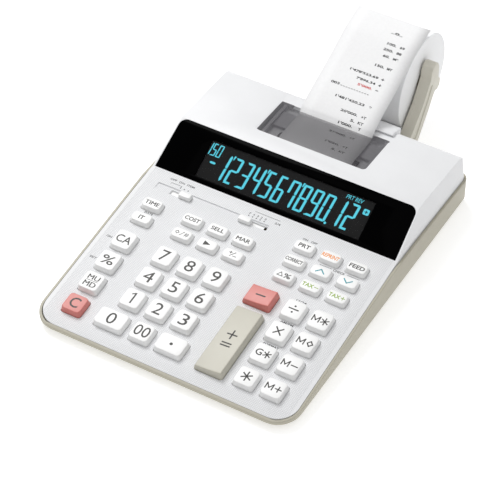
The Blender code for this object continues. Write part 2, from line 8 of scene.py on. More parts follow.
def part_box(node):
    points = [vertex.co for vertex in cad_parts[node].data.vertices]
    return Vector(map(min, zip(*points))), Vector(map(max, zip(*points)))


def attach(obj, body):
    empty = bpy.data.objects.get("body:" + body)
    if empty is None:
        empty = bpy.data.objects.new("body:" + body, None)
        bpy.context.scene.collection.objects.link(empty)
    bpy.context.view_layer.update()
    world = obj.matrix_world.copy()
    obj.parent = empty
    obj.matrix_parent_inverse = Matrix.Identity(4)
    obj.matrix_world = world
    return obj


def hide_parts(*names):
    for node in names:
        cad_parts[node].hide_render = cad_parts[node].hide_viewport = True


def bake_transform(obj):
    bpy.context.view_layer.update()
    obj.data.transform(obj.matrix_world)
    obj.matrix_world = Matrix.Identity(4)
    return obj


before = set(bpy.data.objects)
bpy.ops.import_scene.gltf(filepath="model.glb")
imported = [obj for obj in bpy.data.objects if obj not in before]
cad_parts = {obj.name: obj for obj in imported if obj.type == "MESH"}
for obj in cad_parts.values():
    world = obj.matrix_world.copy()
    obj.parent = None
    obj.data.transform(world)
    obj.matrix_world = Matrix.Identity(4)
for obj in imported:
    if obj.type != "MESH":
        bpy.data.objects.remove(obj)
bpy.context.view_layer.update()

# A desk calculator with a paper roll printer. Lengths are millimetres, with y measured from the line where
# the keyboard deck meets the display slope, and become metres in the frame as each mesh is made.

MM = 0.001
TRAY_FRONT_Y = -157.5
SHIFT_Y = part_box("bottom_case")[0].y / MM - TRAY_FRONT_Y

HALF_WIDTH = 100.0
DECK_FRONT_Y = -154.6
DECK_TOP_Z = 26.55
DECK_SLOPE = math.radians(7.0)
GRID_PITCH = 1.25
DISPLAY_SLOPE = math.radians(29.1)
RIDGE_Y, RIDGE_Z = 37.1, 47.2
ROOF_REAR_Y, ROOF_REAR_Z = 97.0, 44.6
REAR_Y = 109.5
REAR_ROUND = 13.0
SIDE_DRAFT = 0.13
DRAFT_FROM_Z = 24.0
WALL = 2.2
DECK_WALL = 1.8
DISPLAY_WALL = 3.6
ROOF_WALL = 3.0
CLEARANCE = 0.3
TRAY_HALF_WIDTH = 102.0
TRAY_WALL = 1.7
TRAY_REAR_Y = 111.5
TRAY_BOTTOM_Z = 1.2
TRAY_FLOOR_Z = 2.8
TRAY_UNDERCUT = 3.0
CORNER_FRONT = 18.0
CORNER_REAR = 9.0
WINDOW_HALF_BOTTOM = 97.6
WINDOW_HALF_TOP = 96.2
WINDOW_V = (0.6, 41.6)
WINDOW_THICK = 1.5
LCD_HALF = 66.7
LCD_V = (4.5, 34.5)
KEY_FLANGE = 1.0
BAY_X = (-44.1, 45.3)
BAY_Y = (52.7, 92.3)
PAPER_X = (-27.4, 32.2)
ROLL_YZ = (169.5, 39.3)
ROLL_RADIUS = 37.8
CORE_RADIUS = 9.0
PLATEN_YZ = (60.5, 35.5)
PLATEN_RADIUS = 6.5
PIVOT_YZ = (118.2, 9.5)
SPINDLE_YZ = (169.5, 42.5)


def slope_frame(origin, slope):
    """A frame whose u runs along X, v up the slope and n out of it."""
    return Matrix.Translation(origin) @ Matrix.Rotation(slope, 4, "X")


WORLD = Matrix.Identity(4)
DECK = slope_frame((0, 0, DECK_TOP_Z), DECK_SLOPE)
DISPLAY = slope_frame((0, 0, DECK_TOP_Z), DISPLAY_SLOPE)
ROOF = slope_frame((0, RIDGE_Y, RIDGE_Z), math.atan2(ROOF_REAR_Z - RIDGE_Z, ROOF_REAR_Y - RIDGE_Y))


# ---------------------------------------------------------------- materials

def node(tree, kind, **inputs):
    """A shader node with its sockets linked or set by name."""
    made = tree.nodes.new(kind)
    for name, value in inputs.items():
        socket = made.inputs[name.replace("_", " ")]
        if isinstance(value, bpy.types.NodeSocket):
            tree.links.new(value, socket)
        else:
            socket.default_value = value
    return made


def math_node(tree, operation, *values):
    """The output of one arithmetic node."""
    made = tree.nodes.new("ShaderNodeMath")
    made.operation = operation
    for socket, value in zip(made.inputs, values):
        if isinstance(value, bpy.types.NodeSocket):
            tree.links.new(value, socket)
        else:
            socket.default_value = value
    return made.outputs[0]


def new_material(name, colour, roughness, **settings):
    """A plain material, with its node tree and shader, for the functions below to build on."""
    made = bpy.data.materials.new(name)
    made.use_nodes = True
    shader = made.node_tree.nodes["Principled BSDF"]
    shader.inputs["Base Color"].default_value = (*colour, 1)
    shader.inputs["Roughness"].default_value = roughness
    for key, value in settings.items():
        shader.inputs[key.replace("_", " ")].default_value = value
    made.diffuse_color = (*colour, 1)
    return made, made.node_tree, shader


def object_coords(tree):
    return tree.nodes.new("ShaderNodeTexCoord").outputs["Object"]


def noise(tree, scale, detail=3.0):
    return node(tree, "ShaderNodeTexNoise", Vector=object_coords(tree), Scale=scale, Detail=detail).outputs[0]


def ramp(tree, share, low, high, start=0.0, end=1.0):
    """A colour that goes from low to high as the share goes from start to end."""
    made = tree.nodes.new("ShaderNodeValToRGB")
    tree.links.new(share, made.inputs[0])
    for stop, position, colour in zip(made.color_ramp.elements, (start, end), (low, high)):
        stop.position = position
        stop.color = (*colour, 1)
    return made.outputs[0]


def mix_colour(tree, share, colour, other):
    """A colour that goes to the other colour as the share goes from 0 to 1."""
    made = tree.nodes.new("ShaderNodeMix")
    made.data_type = "RGBA"
    tree.links.new(share, made.inputs[0])
    tree.links.new(colour, made.inputs[6])
    made.inputs[7].default_value = (*other, 1)
    return made.outputs[2]


def vary_colour(tree, shader, colour, amount, scale):
    """Mottles the colour a little, as pigment in a moulding is never quite even."""
    low = [c * (1 - amount) for c in colour]
    high = [min(1.0, c * (1 + amount)) for c in colour]
    mottled = ramp(tree, noise(tree, scale), low, high, 0.35, 0.65)
    tree.links.new(mottled, shader.inputs["Base Color"])
    return mottled


def vary_roughness(tree, shader, roughness, spread, scale):
    low, high = roughness - spread, roughness + spread
    spread_map = node(tree, "ShaderNodeMapRange", Value=noise(tree, scale), To_Min=low, To_Max=high)
    tree.links.new(spread_map.outputs[0], shader.inputs["Roughness"])


def bump(tree, shader, height, distance, strength=1.0):
    """Relief from a height, distance metres deep."""
    made = node(tree, "ShaderNodeBump", Height=height, Distance=distance, Strength=strength)
    tree.links.new(made.outputs[0], shader.inputs["Normal"])


def moulded(name, colour, roughness, grain=0.00003, grain_scale=2600.0, **settings):
    """Moulded plastic: fine spark-eroded grain, faint mottling and uneven gloss."""
    made, tree, shader = new_material(name, colour, roughness, **settings)
    vary_colour(tree, shader, colour, 0.012, 90.0)
    vary_roughness(tree, shader, roughness, 0.04, 350.0)
    bump(tree, shader, noise(tree, grain_scale, 4.0), grain)
    return made


def deck_material():
    """White moulding whose keyboard deck has a fine embossed grid of rounded squares, with a painted
    highlight on the raised squares and painted shade in the grooves between them.
    """
    colour = (0.815, 0.82, 0.832)
    made, tree, shader = new_material("case_white", colour, 0.42, Specular_IOR_Level=0.4)
    plain = vary_colour(tree, shader, colour, 0.01, 60.0)
    vary_roughness(tree, shader, 0.42, 0.04, 400.0)
    coords = object_coords(tree)
    split = node(tree, "ShaderNodeSeparateXYZ", Vector=coords)
    cells = []
    for axis in (0, 1):
        phase = math_node(tree, "FRACT", math_node(tree, "DIVIDE", split.outputs[axis], GRID_PITCH * MM))
        cells.append(math_node(tree, "ABSOLUTE", math_node(tree, "SUBTRACT", phase, 0.5)))
    squares = math_node(tree, "SMOOTH_MAX", cells[0], cells[1], 0.12)
    raised = node(
        tree, "ShaderNodeMapRange", Value=squares, From_Min=0.26, From_Max=0.42, To_Min=1.0, To_Max=0.0,
    )
    raised.interpolation_type = "SMOOTHSTEP"
    face = tree.nodes.new("ShaderNodeNewGeometry")
    facing = node(tree, "ShaderNodeSeparateXYZ", Vector=face.outputs["True Normal"])
    level = math_node(tree, "GREATER_THAN", facing.outputs[2], math.cos(DECK_SLOPE) - 0.003)
    before = math_node(tree, "LESS_THAN", split.outputs[1], SHIFT_Y * MM)
    off_middle = math_node(tree, "ABSOLUTE", split.outputs[0])
    inside = math_node(tree, "LESS_THAN", off_middle, (HALF_WIDTH - 3) * MM)
    mask = math_node(tree, "MULTIPLY", math_node(tree, "MULTIPLY", level, before), inside)
    grid = math_node(tree, "MULTIPLY", raised.outputs[0], mask)
    grain = math_node(tree, "MULTIPLY", noise(tree, 2600.0, 4.0), 0.25)
    bump(tree, shader, math_node(tree, "ADD", grid, grain), 0.00012)
    # Painted highlight on the raised squares and painted shade in the grooves: the colour goes lighter on the
    # cells and a darker blue-grey between them.
    raised_painted_highlight = mix_colour(tree, grid, plain, (0.90, 0.905, 0.915))
    groove = math_node(tree, "MULTIPLY", math_node(tree, "SUBTRACT", mask, grid), 0.17)
    shaded = mix_colour(tree, groove, raised_painted_highlight, (0.25, 0.26, 0.30))
    tree.links.new(shaded, shader.inputs["Base Color"])
    return made


def paper_material(name, colour=(0.91, 0.91, 0.915)):
    """Uncoated paper: faint fibres in colour and surface."""
    made, tree, shader = new_material(name, colour, 0.85, Specular_IOR_Level=0.2)
    vary_colour(tree, shader, colour, 0.012, 500.0)
    bump(tree, shader, noise(tree, 3500.0, 6.0), 0.00002)
    return made


def roll_material():
    """The wound end of the roll shows its turns as fine rings."""
    colour = (0.94, 0.945, 0.955)
    made, tree, shader = new_material("paper_roll_white", colour, 0.8, Specular_IOR_Level=0.2)
    coords = object_coords(tree)
    split = node(tree, "ShaderNodeSeparateXYZ", Vector=coords)
    y = math_node(tree, "SUBTRACT", split.outputs[1], (ROLL_YZ[0] + SHIFT_Y) * MM)
    z = math_node(tree, "SUBTRACT", split.outputs[2], ROLL_YZ[1] * MM)
    squares = math_node(tree, "ADD", math_node(tree, "MULTIPLY", y, y), math_node(tree, "MULTIPLY", z, z))
    radius = math_node(tree, "SQRT", squares)
    place_on_ring = node(tree, "ShaderNodeCombineXYZ", X=math_node(tree, "MULTIPLY", radius, 2600.0))
    turns = node(tree, "ShaderNodeTexNoise", Vector=place_on_ring.outputs[0], Scale=1.0, Detail=3.0)
    rings = turns.outputs[0]
    low = (colour[0] * 0.97, colour[1] * 0.97, colour[2] * 0.975)
    banded = ramp(tree, rings, low, (0.955, 0.96, 0.965), 0.3, 0.7)
    tree.links.new(banded, shader.inputs["Base Color"])
    bump(tree, shader, rings, 0.00002)
    return made


def clear_material(name, colour, alpha, roughness=0.06, **settings):
    """A thin tinted pane: light passes straight through, and the surface shines."""
    made, tree, shader = new_material(name, colour, roughness, Alpha=alpha, **settings)
    bump(tree, shader, noise(tree, 60.0, 2.0), 0.00002)
    vary_roughness(tree, shader, roughness, 0.02, 200.0)
    return made


def glow_material(name, colour, strength):
    """A display segment: an even light blue with a faint cell structure."""
    made, tree, shader = new_material(name, (0.01, 0.02, 0.02), 0.4, Emission_Strength=strength)
    glow = ramp(tree, noise(tree, 900.0), [c * 0.96 for c in colour], colour)
    tree.links.new(glow, shader.inputs["Emission Color"])
    return made


def make_materials():
    looks = {
        "case": deck_material(),
        "key": moulded("key_white", (0.90, 0.90, 0.895), 0.36, 0.00002, Specular_IOR_Level=0.45),
        "pink": moulded("key_pink", (0.66, 0.205, 0.18), 0.38, 0.00003),
        "key_beige": moulded("key_beige", (0.555, 0.535, 0.455), 0.4, 0.00003),
        "tray": moulded("tray_beige", (0.455, 0.43, 0.345), 0.45, 0.00005, 1800.0),
        "arm": moulded("arm_beige", (0.64, 0.615, 0.53), 0.45, 0.00005, 1800.0),
        "legend": moulded("legend_grey", (0.034, 0.032, 0.028), 0.5, 0.00001),
        "label": moulded("label_grey", (0.09, 0.09, 0.095), 0.5, 0.00001),
        "legend_orange": moulded("legend_orange", (0.85, 0.28, 0.03), 0.5, 0.00001),
        "legend_green": moulded("legend_green", (0.26, 0.42, 0.02), 0.5, 0.00001),
        "legend_teal": moulded("legend_teal", (0.01, 0.30, 0.36), 0.5, 0.00001),
        "window": moulded(
            "window_black", (0.0005, 0.0005, 0.0006), 0.12, 0.000004, 900.0, Specular_IOR_Level=0.012,
        ),
        "lcd": moulded("lcd_field", (0.0185, 0.0185, 0.019), 0.5, 0.00001, Specular_IOR_Level=0.03),
        "pane": clear_material("display_pane", (0.005, 0.005, 0.005), 0.05, Specular_IOR_Level=0.02),
        "segment": glow_material("lcd_segment", (0.075, 0.62, 0.77), 1.08),
        "smoke": clear_material("smoke_cover", (0.085, 0.08, 0.09), 0.36, 0.25, Specular_IOR_Level=0.25),
        "dark": moulded("printer_inside", (0.62, 0.62, 0.64), 0.5),
        "grey": moulded("carriage_grey", (0.18, 0.19, 0.20), 0.5),
        "rubber": moulded("black_rubber", (0.02, 0.02, 0.02), 0.8, 0.00008, 1200.0),
        "board": moulded("circuit_board", (0.20, 0.13, 0.05), 0.5),
        "paper": paper_material("strip_paper"),
        "roll": roll_material(),
        "core": paper_material("core_card", (0.33, 0.27, 0.20)),
        "print": moulded("print_black", (0.012, 0.012, 0.014), 0.8, 0.00001),
        "print_red": moulded("print_red", (0.60, 0.05, 0.05), 0.8, 0.00001),
    }
    metal, tree, shader = new_material("steel", (0.62, 0.62, 0.64), 0.3, Metallic=1.0)
    vary_roughness(tree, shader, 0.3, 0.08, 300.0)
    bump(tree, shader, noise(tree, 900.0), 0.00003)
    looks["steel"] = metal
    return looks


LOOKS = make_materials()


# ---------------------------------------------------------------- mesh tools

def mesh_object(name, points, faces, look=None):
    """One object in the frame's place and metres. Without a look it is a helper for a Boolean."""
    shift = Vector((0, SHIFT_Y, 0))
    mesh = bpy.data.meshes.new(name)
    mesh.from_pydata([(Vector(p) + shift) * MM for p in points], [], faces)
    work = bmesh.new()
    work.from_mesh(mesh)
    bmesh.ops.recalc_face_normals(work, faces=work.faces)
    work.to_mesh(mesh)
    work.free()
    made = bpy.data.objects.new(name, mesh)
    bpy.context.scene.collection.objects.link(made)
    if look:
        mesh.materials.append(LOOKS[look])
    else:
        made.hide_render = True
    return made


def loft_faces(rings, start=0):
    """Two end faces, and quads between each ring and the next."""
    count = len(rings[0])
    faces = [tuple(range(start, start + count))]
    for row in range(len(rings) - 1):
        low = start + row * count
        for i in range(count):
            j = (i + 1) % count
            faces.append((low + i, low + j, low + count + j, low + count + i))
    last = start + (len(rings) - 1) * count
    faces.append(tuple(range(last, last + count)))
    return faces


def lofts(name, bodies, look=None):
    """One object from closed bodies, each lofted through rings with equal numbers of points."""
    points = []
    faces = []
    for rings in bodies:
        faces += loft_faces(rings, len(points))
        for ring in rings:
            points += ring
    return mesh_object(name, points, faces, look)


def loft(name, rings, look=None):
    """One closed body through its rings."""
    return lofts(name, [rings], look)


def place(at, outline, n):
    """A flat outline put at height n over a frame."""
    return [at @ Vector((u, v, n)) for u, v in outline]


def slab(at, outline, n_low, n_high):
    """The two rings of a straight-sided body over an outline."""
    return [place(at, outline, n_low), place(at, outline, n_high)]


def across(profile, x_low, x_high):
    """The two rings of a body with one profile all along X."""
    return [[Vector((x, y, z)) for y, z in profile] for x in (x_low, x_high)]


def rectangle(u_low, u_high, v_low, v_high):
    return [(u_low, v_low), (u_high, v_low), (u_high, v_high), (u_low, v_high)]


def rounded(u_low, u_high, v_low, v_high, front, rear=None, steps=6):
    """A rectangle with one corner radius at the front and one at the rear."""
    rear = front if rear is None else rear
    corners = (
        (u_low + front, v_low + front, front, 180),
        (u_high - front, v_low + front, front, 270),
        (u_high - rear, v_high - rear, rear, 0),
        (u_low + rear, v_high - rear, rear, 90),
    )
    outline = []
    for u, v, radius, start in corners:
        for step in range(steps + 1):
            angle = math.radians(start + 90 * step / steps)
            outline.append((u + radius * math.cos(angle), v + radius * math.sin(angle)))
    return outline


def disc(u, v, radius):
    return rounded(u - radius, u + radius, v - radius, v + radius, radius)


def arc_yz(centre, radius, start, end, steps):
    """Points along an arc, its angles in degrees."""
    points = []
    for i in range(steps + 1):
        angle = math.radians(start + (end - start) * i / steps)
        points.append((centre[0] + radius * math.cos(angle), centre[1] + radius * math.sin(angle)))
    return points


def circle_yz(centre, radius, segments=48):
    return arc_yz(centre, radius, 0, 360 - 360 / segments, segments - 1)


def boolean(target, other, operation="DIFFERENCE"):
    made = target.modifiers.new(other.name, "BOOLEAN")
    made.object = other
    made.operation = operation
    made.solver = "EXACT"
    made.material_mode = "INDEX"


def settle(obj, bevel=0.0, segments=2, limit=32.0, smooth=35.0):
    """Applies the modifiers, rounds the edges over the limit angle, and shades the result smooth."""
    if bevel:
        rounding = obj.modifiers.new("rounding", "BEVEL")
        rounding.width = bevel * MM
        rounding.segments = segments
        rounding.limit_method = "ANGLE"
        rounding.angle_limit = math.radians(limit)
        rounding.miter_outer = "MITER_ARC"
        rounding.use_clamp_overlap = True
    helpers = [m.object for m in obj.modifiers if m.type == "BOOLEAN"]
    graph = bpy.context.evaluated_depsgraph_get()
    mesh = bpy.data.meshes.new_from_object(obj.evaluated_get(graph), depsgraph=graph)
    obj.modifiers.clear()
    obj.data = mesh
    for helper in helpers:
        bpy.data.objects.remove(helper)
    mesh.shade_smooth()
    mesh.set_sharp_from_angle(angle=math.radians(smooth))
    return obj


def keep(obj, body, replaces=()):
    """Puts a finished piece on its body, and hides the CAD nodes that it stands for."""
    obj.hide_render = False
    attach(obj, body)
    if replaces:
        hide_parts(*replaces)
    return obj


def inset(profile, amounts):
    """The profile with each side moved inward by its own amount."""
    count = len(profile)
    lines = []
    for i in range(count):
        (y0, z0), (y1, z1) = profile[i], profile[(i + 1) % count]
        length = math.hypot(y1 - y0, z1 - z0)
        normal = (-(z1 - z0) / length, (y1 - y0) / length)
        lines.append((normal, normal[0] * y0 + normal[1] * z0 + amounts[i]))
    moved = []
    for i in range(count):
        (a, d), (b, e) = lines[i - 1], lines[i]
        det = a[0] * b[1] - a[1] * b[0]
        moved.append(((d * b[1] - e * a[1]) / det, (a[0] * e - b[0] * d) / det))
    return moved


def deck_z(y):
    """The height of the deck's plane."""
    return DECK_TOP_Z + y * math.tan(DECK_SLOPE)


# ---------------------------------------------------------------- case and tray

def case_profile(steps=16):
    """The side view of the top case, and how thick the wall is behind each of its sides."""
    open_edge = -30.0
    front, rear = DECK_FRONT_Y - 0.5, REAR_Y + 0.4
    centre = (rear - REAR_ROUND, ROOF_REAR_Z - 13.2)
    points = [(front, 5.2), (0.0, 23.9), (3.0, 19.5), (rear, 19.5)]
    walls = [open_edge, open_edge, open_edge, WALL]
    for i, point in enumerate(arc_yz(centre, REAR_ROUND, 4, 84, steps)):
        points.append(point)
        walls.append(WALL if i < steps // 2 else ROOF_WALL)
    points += [(RIDGE_Y, RIDGE_Z), (0.0, DECK_TOP_Z), (front, deck_z(front))]
    walls += [DISPLAY_WALL, DECK_WALL, WALL]
    return points, walls


def plan_rings(levels, steps=10):
    """Rounded outlines, each from a height, half width, front, rear and two corner radii."""
    rings = []
    for z, half, front_y, rear_y, front, rear in levels:
        rings.append(place(WORLD, rounded(-half, half, front_y, rear_y, front, rear, steps), z))
    return rings


def key_extent(name):
    """(u low, u high, v low, v high, top) of a key's base on the deck, from its CAD node."""
    flat = DECK.inverted()
    spots = [flat @ (v.co / MM - Vector((0, SHIFT_Y, 0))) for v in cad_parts[name].data.vertices]
    u, v, n = ([p[i] for p in spots] for i in range(3))
    return min(u) + KEY_FLANGE, max(u) - KEY_FLANGE, min(v) + KEY_FLANGE, max(v) - KEY_FLANGE, max(n)


KEYS = {name: key_extent(name) for name in sorted(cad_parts) if name.startswith("key_")}


def window_outline(grow, steps=10):
    """The display window: square lower corners, round upper ones, and sides that lean inward."""
    low, high = WINDOW_V
    radius = 6.0
    outline = [(-WINDOW_HALF_BOTTOM - grow, low - grow), (WINDOW_HALF_BOTTOM + grow, low - grow)]
    for step in range(steps + 1):
        angle = math.radians(90 * step / steps)
        reach = radius + grow
        u = WINDOW_HALF_TOP - radius + reach * math.cos(angle)
        outline.append((u, high - radius + reach * math.sin(angle)))
    for u, v in reversed(outline[2:]):
        outline.append((-u, v))
    return outline


# Each switch: the limits of its neck and of its cap on the deck, the cap's height, and the slot's limits
SWITCHES = {
    "switch_knob_left": (
        (-66.4, -57.6, -17.5, -13.9), (-67.2, -57.4, -18.4, -13.3), 3.3, (-75.0, -57.2, -17.9, -13.5),
    ),
    "switch_knob_right": (
        (-17.8, -8.6, -16.1, -13.3), (-18.2, -8.2, -18.1, -13.0), 3.3, (-18.3, 4.1, -16.5, -12.9),
    ),
}


def build_case():
    profile, walls = case_profile()
    high = 60.0
    half_high = HALF_WIDTH - (high - DRAFT_FROM_Z) * SIDE_DRAFT
    outer = (DECK_FRONT_Y, REAR_Y, CORNER_FRONT - 2, CORNER_REAR - 2)
    shell = loft("case_shell", plan_rings((
        (0.0, HALF_WIDTH, *outer), (DRAFT_FROM_Z, HALF_WIDTH, *outer), (high, half_high, *outer),
    )), "case")
    boolean(shell, loft("case_side_view", across(profile, -120, 120)), "INTERSECT")
    settle(shell, 2.0, 4, 40.0)
    inner = (DECK_FRONT_Y + WALL, REAR_Y - WALL, CORNER_FRONT - 2 - WALL, CORNER_REAR - 2 - WALL)
    inside = HALF_WIDTH - WALL
    cavity = loft("case_cavity", plan_rings((
        (-5.0, inside, *inner), (DRAFT_FROM_Z, inside, *inner), (high, half_high - WALL, *inner),
    )))
    boolean(cavity, loft("cavity_side_view", across(inset(profile, walls), -120, 120)), "INTERSECT")
    boolean(shell, settle(cavity))
    gap = 0.35
    holes = []
    for u0, u1, v0, v1, _ in KEYS.values():
        holes.append(slab(DECK, rounded(u0 - gap, u1 + gap, v0 - gap, v1 + gap, 2.2), -8, 4))
    boolean(shell, lofts("case_key_holes", holes))
    slots = [slab(DECK, rounded(*slot, 0.5, steps=3), -8, 4) for _, _, _, slot in SWITCHES.values()]
    boolean(shell, lofts("case_slots", slots))
    trough = ((-19.8, 0.05), (-19.8, 3.0), (-11.7, 3.0), (-11.7, -0.75))
    trough_rings = [[DECK @ Vector((u, v, n)) for v, n in trough] for u in (-87.2, 4.3)]
    boolean(shell, loft("case_switch_trough", trough_rings))
    pocket = slab(DISPLAY, window_outline(CLEARANCE), -WINDOW_THICK - CLEARANCE, 8)
    boolean(shell, loft("case_window_pocket", pocket))
    boolean(shell, loft("case_lcd_opening", slab(DISPLAY, rectangle(-LCD_HALF, LCD_HALF, *LCD_V), -12, 2)))
    bay = rounded(*BAY_X, *BAY_Y, 3.0, 1.0)
    boolean(shell, loft("case_bay", slab(WORLD, bay, 38, 60)))
    channel = ((-51.0, 0.35), (-44.5, -1.4), (46.6, -1.4), (46.6, 9.0), (-51.0, 9.0))
    channel_v = (BAY_Y[1] - RIDGE_Y - 3, 90)
    boolean(shell, loft("case_channel", [[ROOF @ Vector((u, v, n)) for u, n in channel] for v in channel_v]))
    finger = ((-50.5, 0.35), (BAY_X[0] + 2, -1.6), (BAY_X[0] + 2, 9.0), (-50.5, 9.0))
    finger_v = (BAY_Y[0] - RIDGE_Y + 0.5, BAY_Y[1] - RIDGE_Y - 1)
    boolean(shell, loft("case_finger", [[ROOF @ Vector((u, v, n)) for u, n in finger] for v in finger_v]))
    boolean(shell, loft("case_inlet", across(rectangle(REAR_Y - 8, REAR_Y + 8, 23.5, 30.0), -30.5, 35.3)))
    settle(shell)
    return keep(shell, "case", ["top_case"])


def build_ledge():
    """The ledge that stands out at the rear of the roof, under the paper strip."""
    ledge = ((99.5, 42.0), (109.0, 34.8), (111.1, 41.0), (110.4, 43.2), (100.0, 45.9), (97.0, 45.1))
    piece = loft("rear_ledge", across(ledge, -27.0, 44.9), "case")
    settle(piece, 0.9, 3)
    return keep(piece, "case")


def tray_levels(grow, low_z, floor):
    """The bottom case from its tucked-in underside to its full width."""
    half = TRAY_HALF_WIDTH + grow
    front_y, rear_y = TRAY_FRONT_Y - grow, TRAY_REAR_Y + grow
    front, rear = CORNER_FRONT + grow, CORNER_REAR + grow
    tuck = TRAY_UNDERCUT
    return (
        (low_z, half - tuck, front_y + tuck, rear_y - tuck, front - tuck, rear - tuck),
        (floor, half, front_y, rear_y, front, rear),
        (45.0, half, front_y, rear_y, front, rear),
    )


BATTERY_X = (-94.0, -46.0)
BATTERY_Y = (58.0, 108.2)
INLET_X = (64.5, 75.5)
INLET_Z = (6.5, 17.5)
INLET_DEPTH = 9.0
INLET_WALL = 1.5
SCREWS = ((-86.0, -140.0), (86.0, -140.0), (-88.0, 20.0), (88.0, 20.0), (50.0, 98.0))
SCREW_WELL_Z = TRAY_BOTTOM_Z + 0.9
SCREW_HEAD = ((2.9, 0.1), (2.9, -0.3), (2.5, -0.6))


def build_tray():
    tray = loft("tray", plan_rings(tray_levels(0.0, TRAY_BOTTOM_Z, 5.0)), "tray")
    rim = [
        (TRAY_FRONT_Y - 5, -5), (TRAY_REAR_Y + 5, -5), (TRAY_REAR_Y + 5, 22.0), (66, 23.7), (27, 25.0),
        (-11, 25.15), (TRAY_FRONT_Y + 1.2, deck_z(TRAY_FRONT_Y + 1.2) - 0.1), (TRAY_FRONT_Y - 5, 5.6),
    ]
    boolean(tray, loft("tray_side_view", across(rim, -120, 120)), "INTERSECT")
    settle(tray, 0.8, 3, 28.0)
    cavity = loft("tray_cavity", plan_rings(tray_levels(-TRAY_WALL, TRAY_FLOOR_Z, 6.2)))
    front_wall = rectangle(-120, 120, TRAY_FRONT_Y - 5, DECK_FRONT_Y - CLEARANCE)
    boolean(cavity, loft("tray_front_wall", slab(WORLD, front_wall, -5, 50)))
    boolean(tray, settle(cavity))
    door_x = (BATTERY_X[0] - CLEARANCE, BATTERY_X[1] + CLEARANCE)
    door = rectangle(*door_x, BATTERY_Y[0] - CLEARANCE, TRAY_REAR_Y + 5)
    boolean(tray, loft("tray_battery_opening", slab(WORLD, door, -2, TRAY_FLOOR_Z + 0.3)))
    blind_y = TRAY_REAR_Y - INLET_DEPTH
    housing_x = (INLET_X[0] - INLET_WALL, INLET_X[1] + INLET_WALL)
    housing = rectangle(*housing_x, blind_y - INLET_WALL, TRAY_REAR_Y - 0.8)
    housing_block = slab(WORLD, housing, TRAY_FLOOR_Z - 0.5, INLET_Z[1] + INLET_WALL)
    boolean(tray, loft("tray_inlet_housing", housing_block), "UNION")
    pocket = rectangle(*INLET_X, blind_y, TRAY_REAR_Y + 4)
    boolean(tray, loft("tray_power_inlet", slab(WORLD, pocket, *INLET_Z)))
    wells = [slab(WORLD, disc(x, y, 3.5), -1, SCREW_WELL_Z) for x, y in SCREWS]
    boolean(tray, lofts("tray_screw_wells", wells))
    paper_inlet = rectangle(TRAY_REAR_Y - 6, TRAY_REAR_Y + 6, 20.5, 40.0)
    boolean(tray, loft("tray_paper_inlet", across(paper_inlet, -30.5, 35.3)))
    settle(tray)
    keep(tray, "case", ["bottom_case"])
    y, z = PIVOT_YZ
    root = TRAY_REAR_Y - 0.6
    lug = [
        (root, 4.5), (y, 2.6), (y + 5.5, 4.5), (y + 7, z), (y + 5, z + 5.2), (y, z + 6.8), (root, z + 7.5),
    ]
    for side, x_low in (("left", -22.0), ("right", 17.0)):
        piece = loft(f"bearing_{side}", across(lug, x_low, x_low + 10), "tray")
        boolean(piece, loft("bearing_bore", across(circle_yz(PIVOT_YZ, 4.3), -26, 31)))
        settle(piece, 0.5, 2)
        keep(piece, "case")


def build_power_jack():
    """The round socket and its pin at the blind end of the power inlet."""
    x, z = sum(INLET_X) / 2, sum(INLET_Z) / 2
    y = TRAY_REAR_Y - INLET_DEPTH
    ring = tube("power_jack_ring", (0, 0), 0.0, 1.3, 3.1, 4.9, "rubber", 40, 0.3)
    pin = turned("power_jack_pin", (0, 0), ((0.0, 0.9), (1.8, 0.9), (2.2, 0.5)), 20, "steel")
    for piece in (ring, pin):
        piece.data.transform(Matrix.Translation((0, -SHIFT_Y * MM, 0)))
        piece.data.transform(Matrix.Rotation(math.radians(90), 4, "Z"))
        piece.data.transform(Matrix.Translation((x * MM, (y + SHIFT_Y) * MM, z * MM)))
        keep(settle(piece), "case")


def build_screws():
    """Cross-head screws that hold the two halves of the case, sunk in wells in the underside."""
    for i, (x, y) in enumerate(SCREWS):
        z = SCREW_WELL_Z
        head = [place(WORLD, disc(x, y, radius), z + rise) for radius, rise in SCREW_HEAD]
        screw = loft(f"case_screw_{i}", head, "steel")
        cross = []
        for turn in (0, 90, 180, 270):
            a = math.radians(turn)
            for u, v in ((0.35, 0.35), (1.6, 0.35), (1.6, -0.35)):
                cross.append((x + u * math.cos(a) + v * math.sin(a), y + u * math.sin(a) - v * math.cos(a)))
        boolean(screw, loft("screw_cross", slab(WORLD, cross, z - 2, z - 0.1)))
        keep(settle(screw), "case")


def build_battery_grip():
    """Raised ribs for a thumb on the battery cover."""
    middle = sum(BATTERY_X) / 2
    ribs = []
    for i in range(6):
        y = BATTERY_Y[0] + 5 + 2.2 * i
        half = 8.0 - 0.9 * i
        rib = rounded(middle - half, middle + half, y - 0.5, y + 0.5, 0.49)
        ribs.append(slab(WORLD, rib, TRAY_BOTTOM_Z - 0.35, TRAY_BOTTOM_Z + 0.2))
    grip = settle(lofts("battery_grip", ribs, "tray"), 0.15, 2)
    keep(grip, "battery_cover")


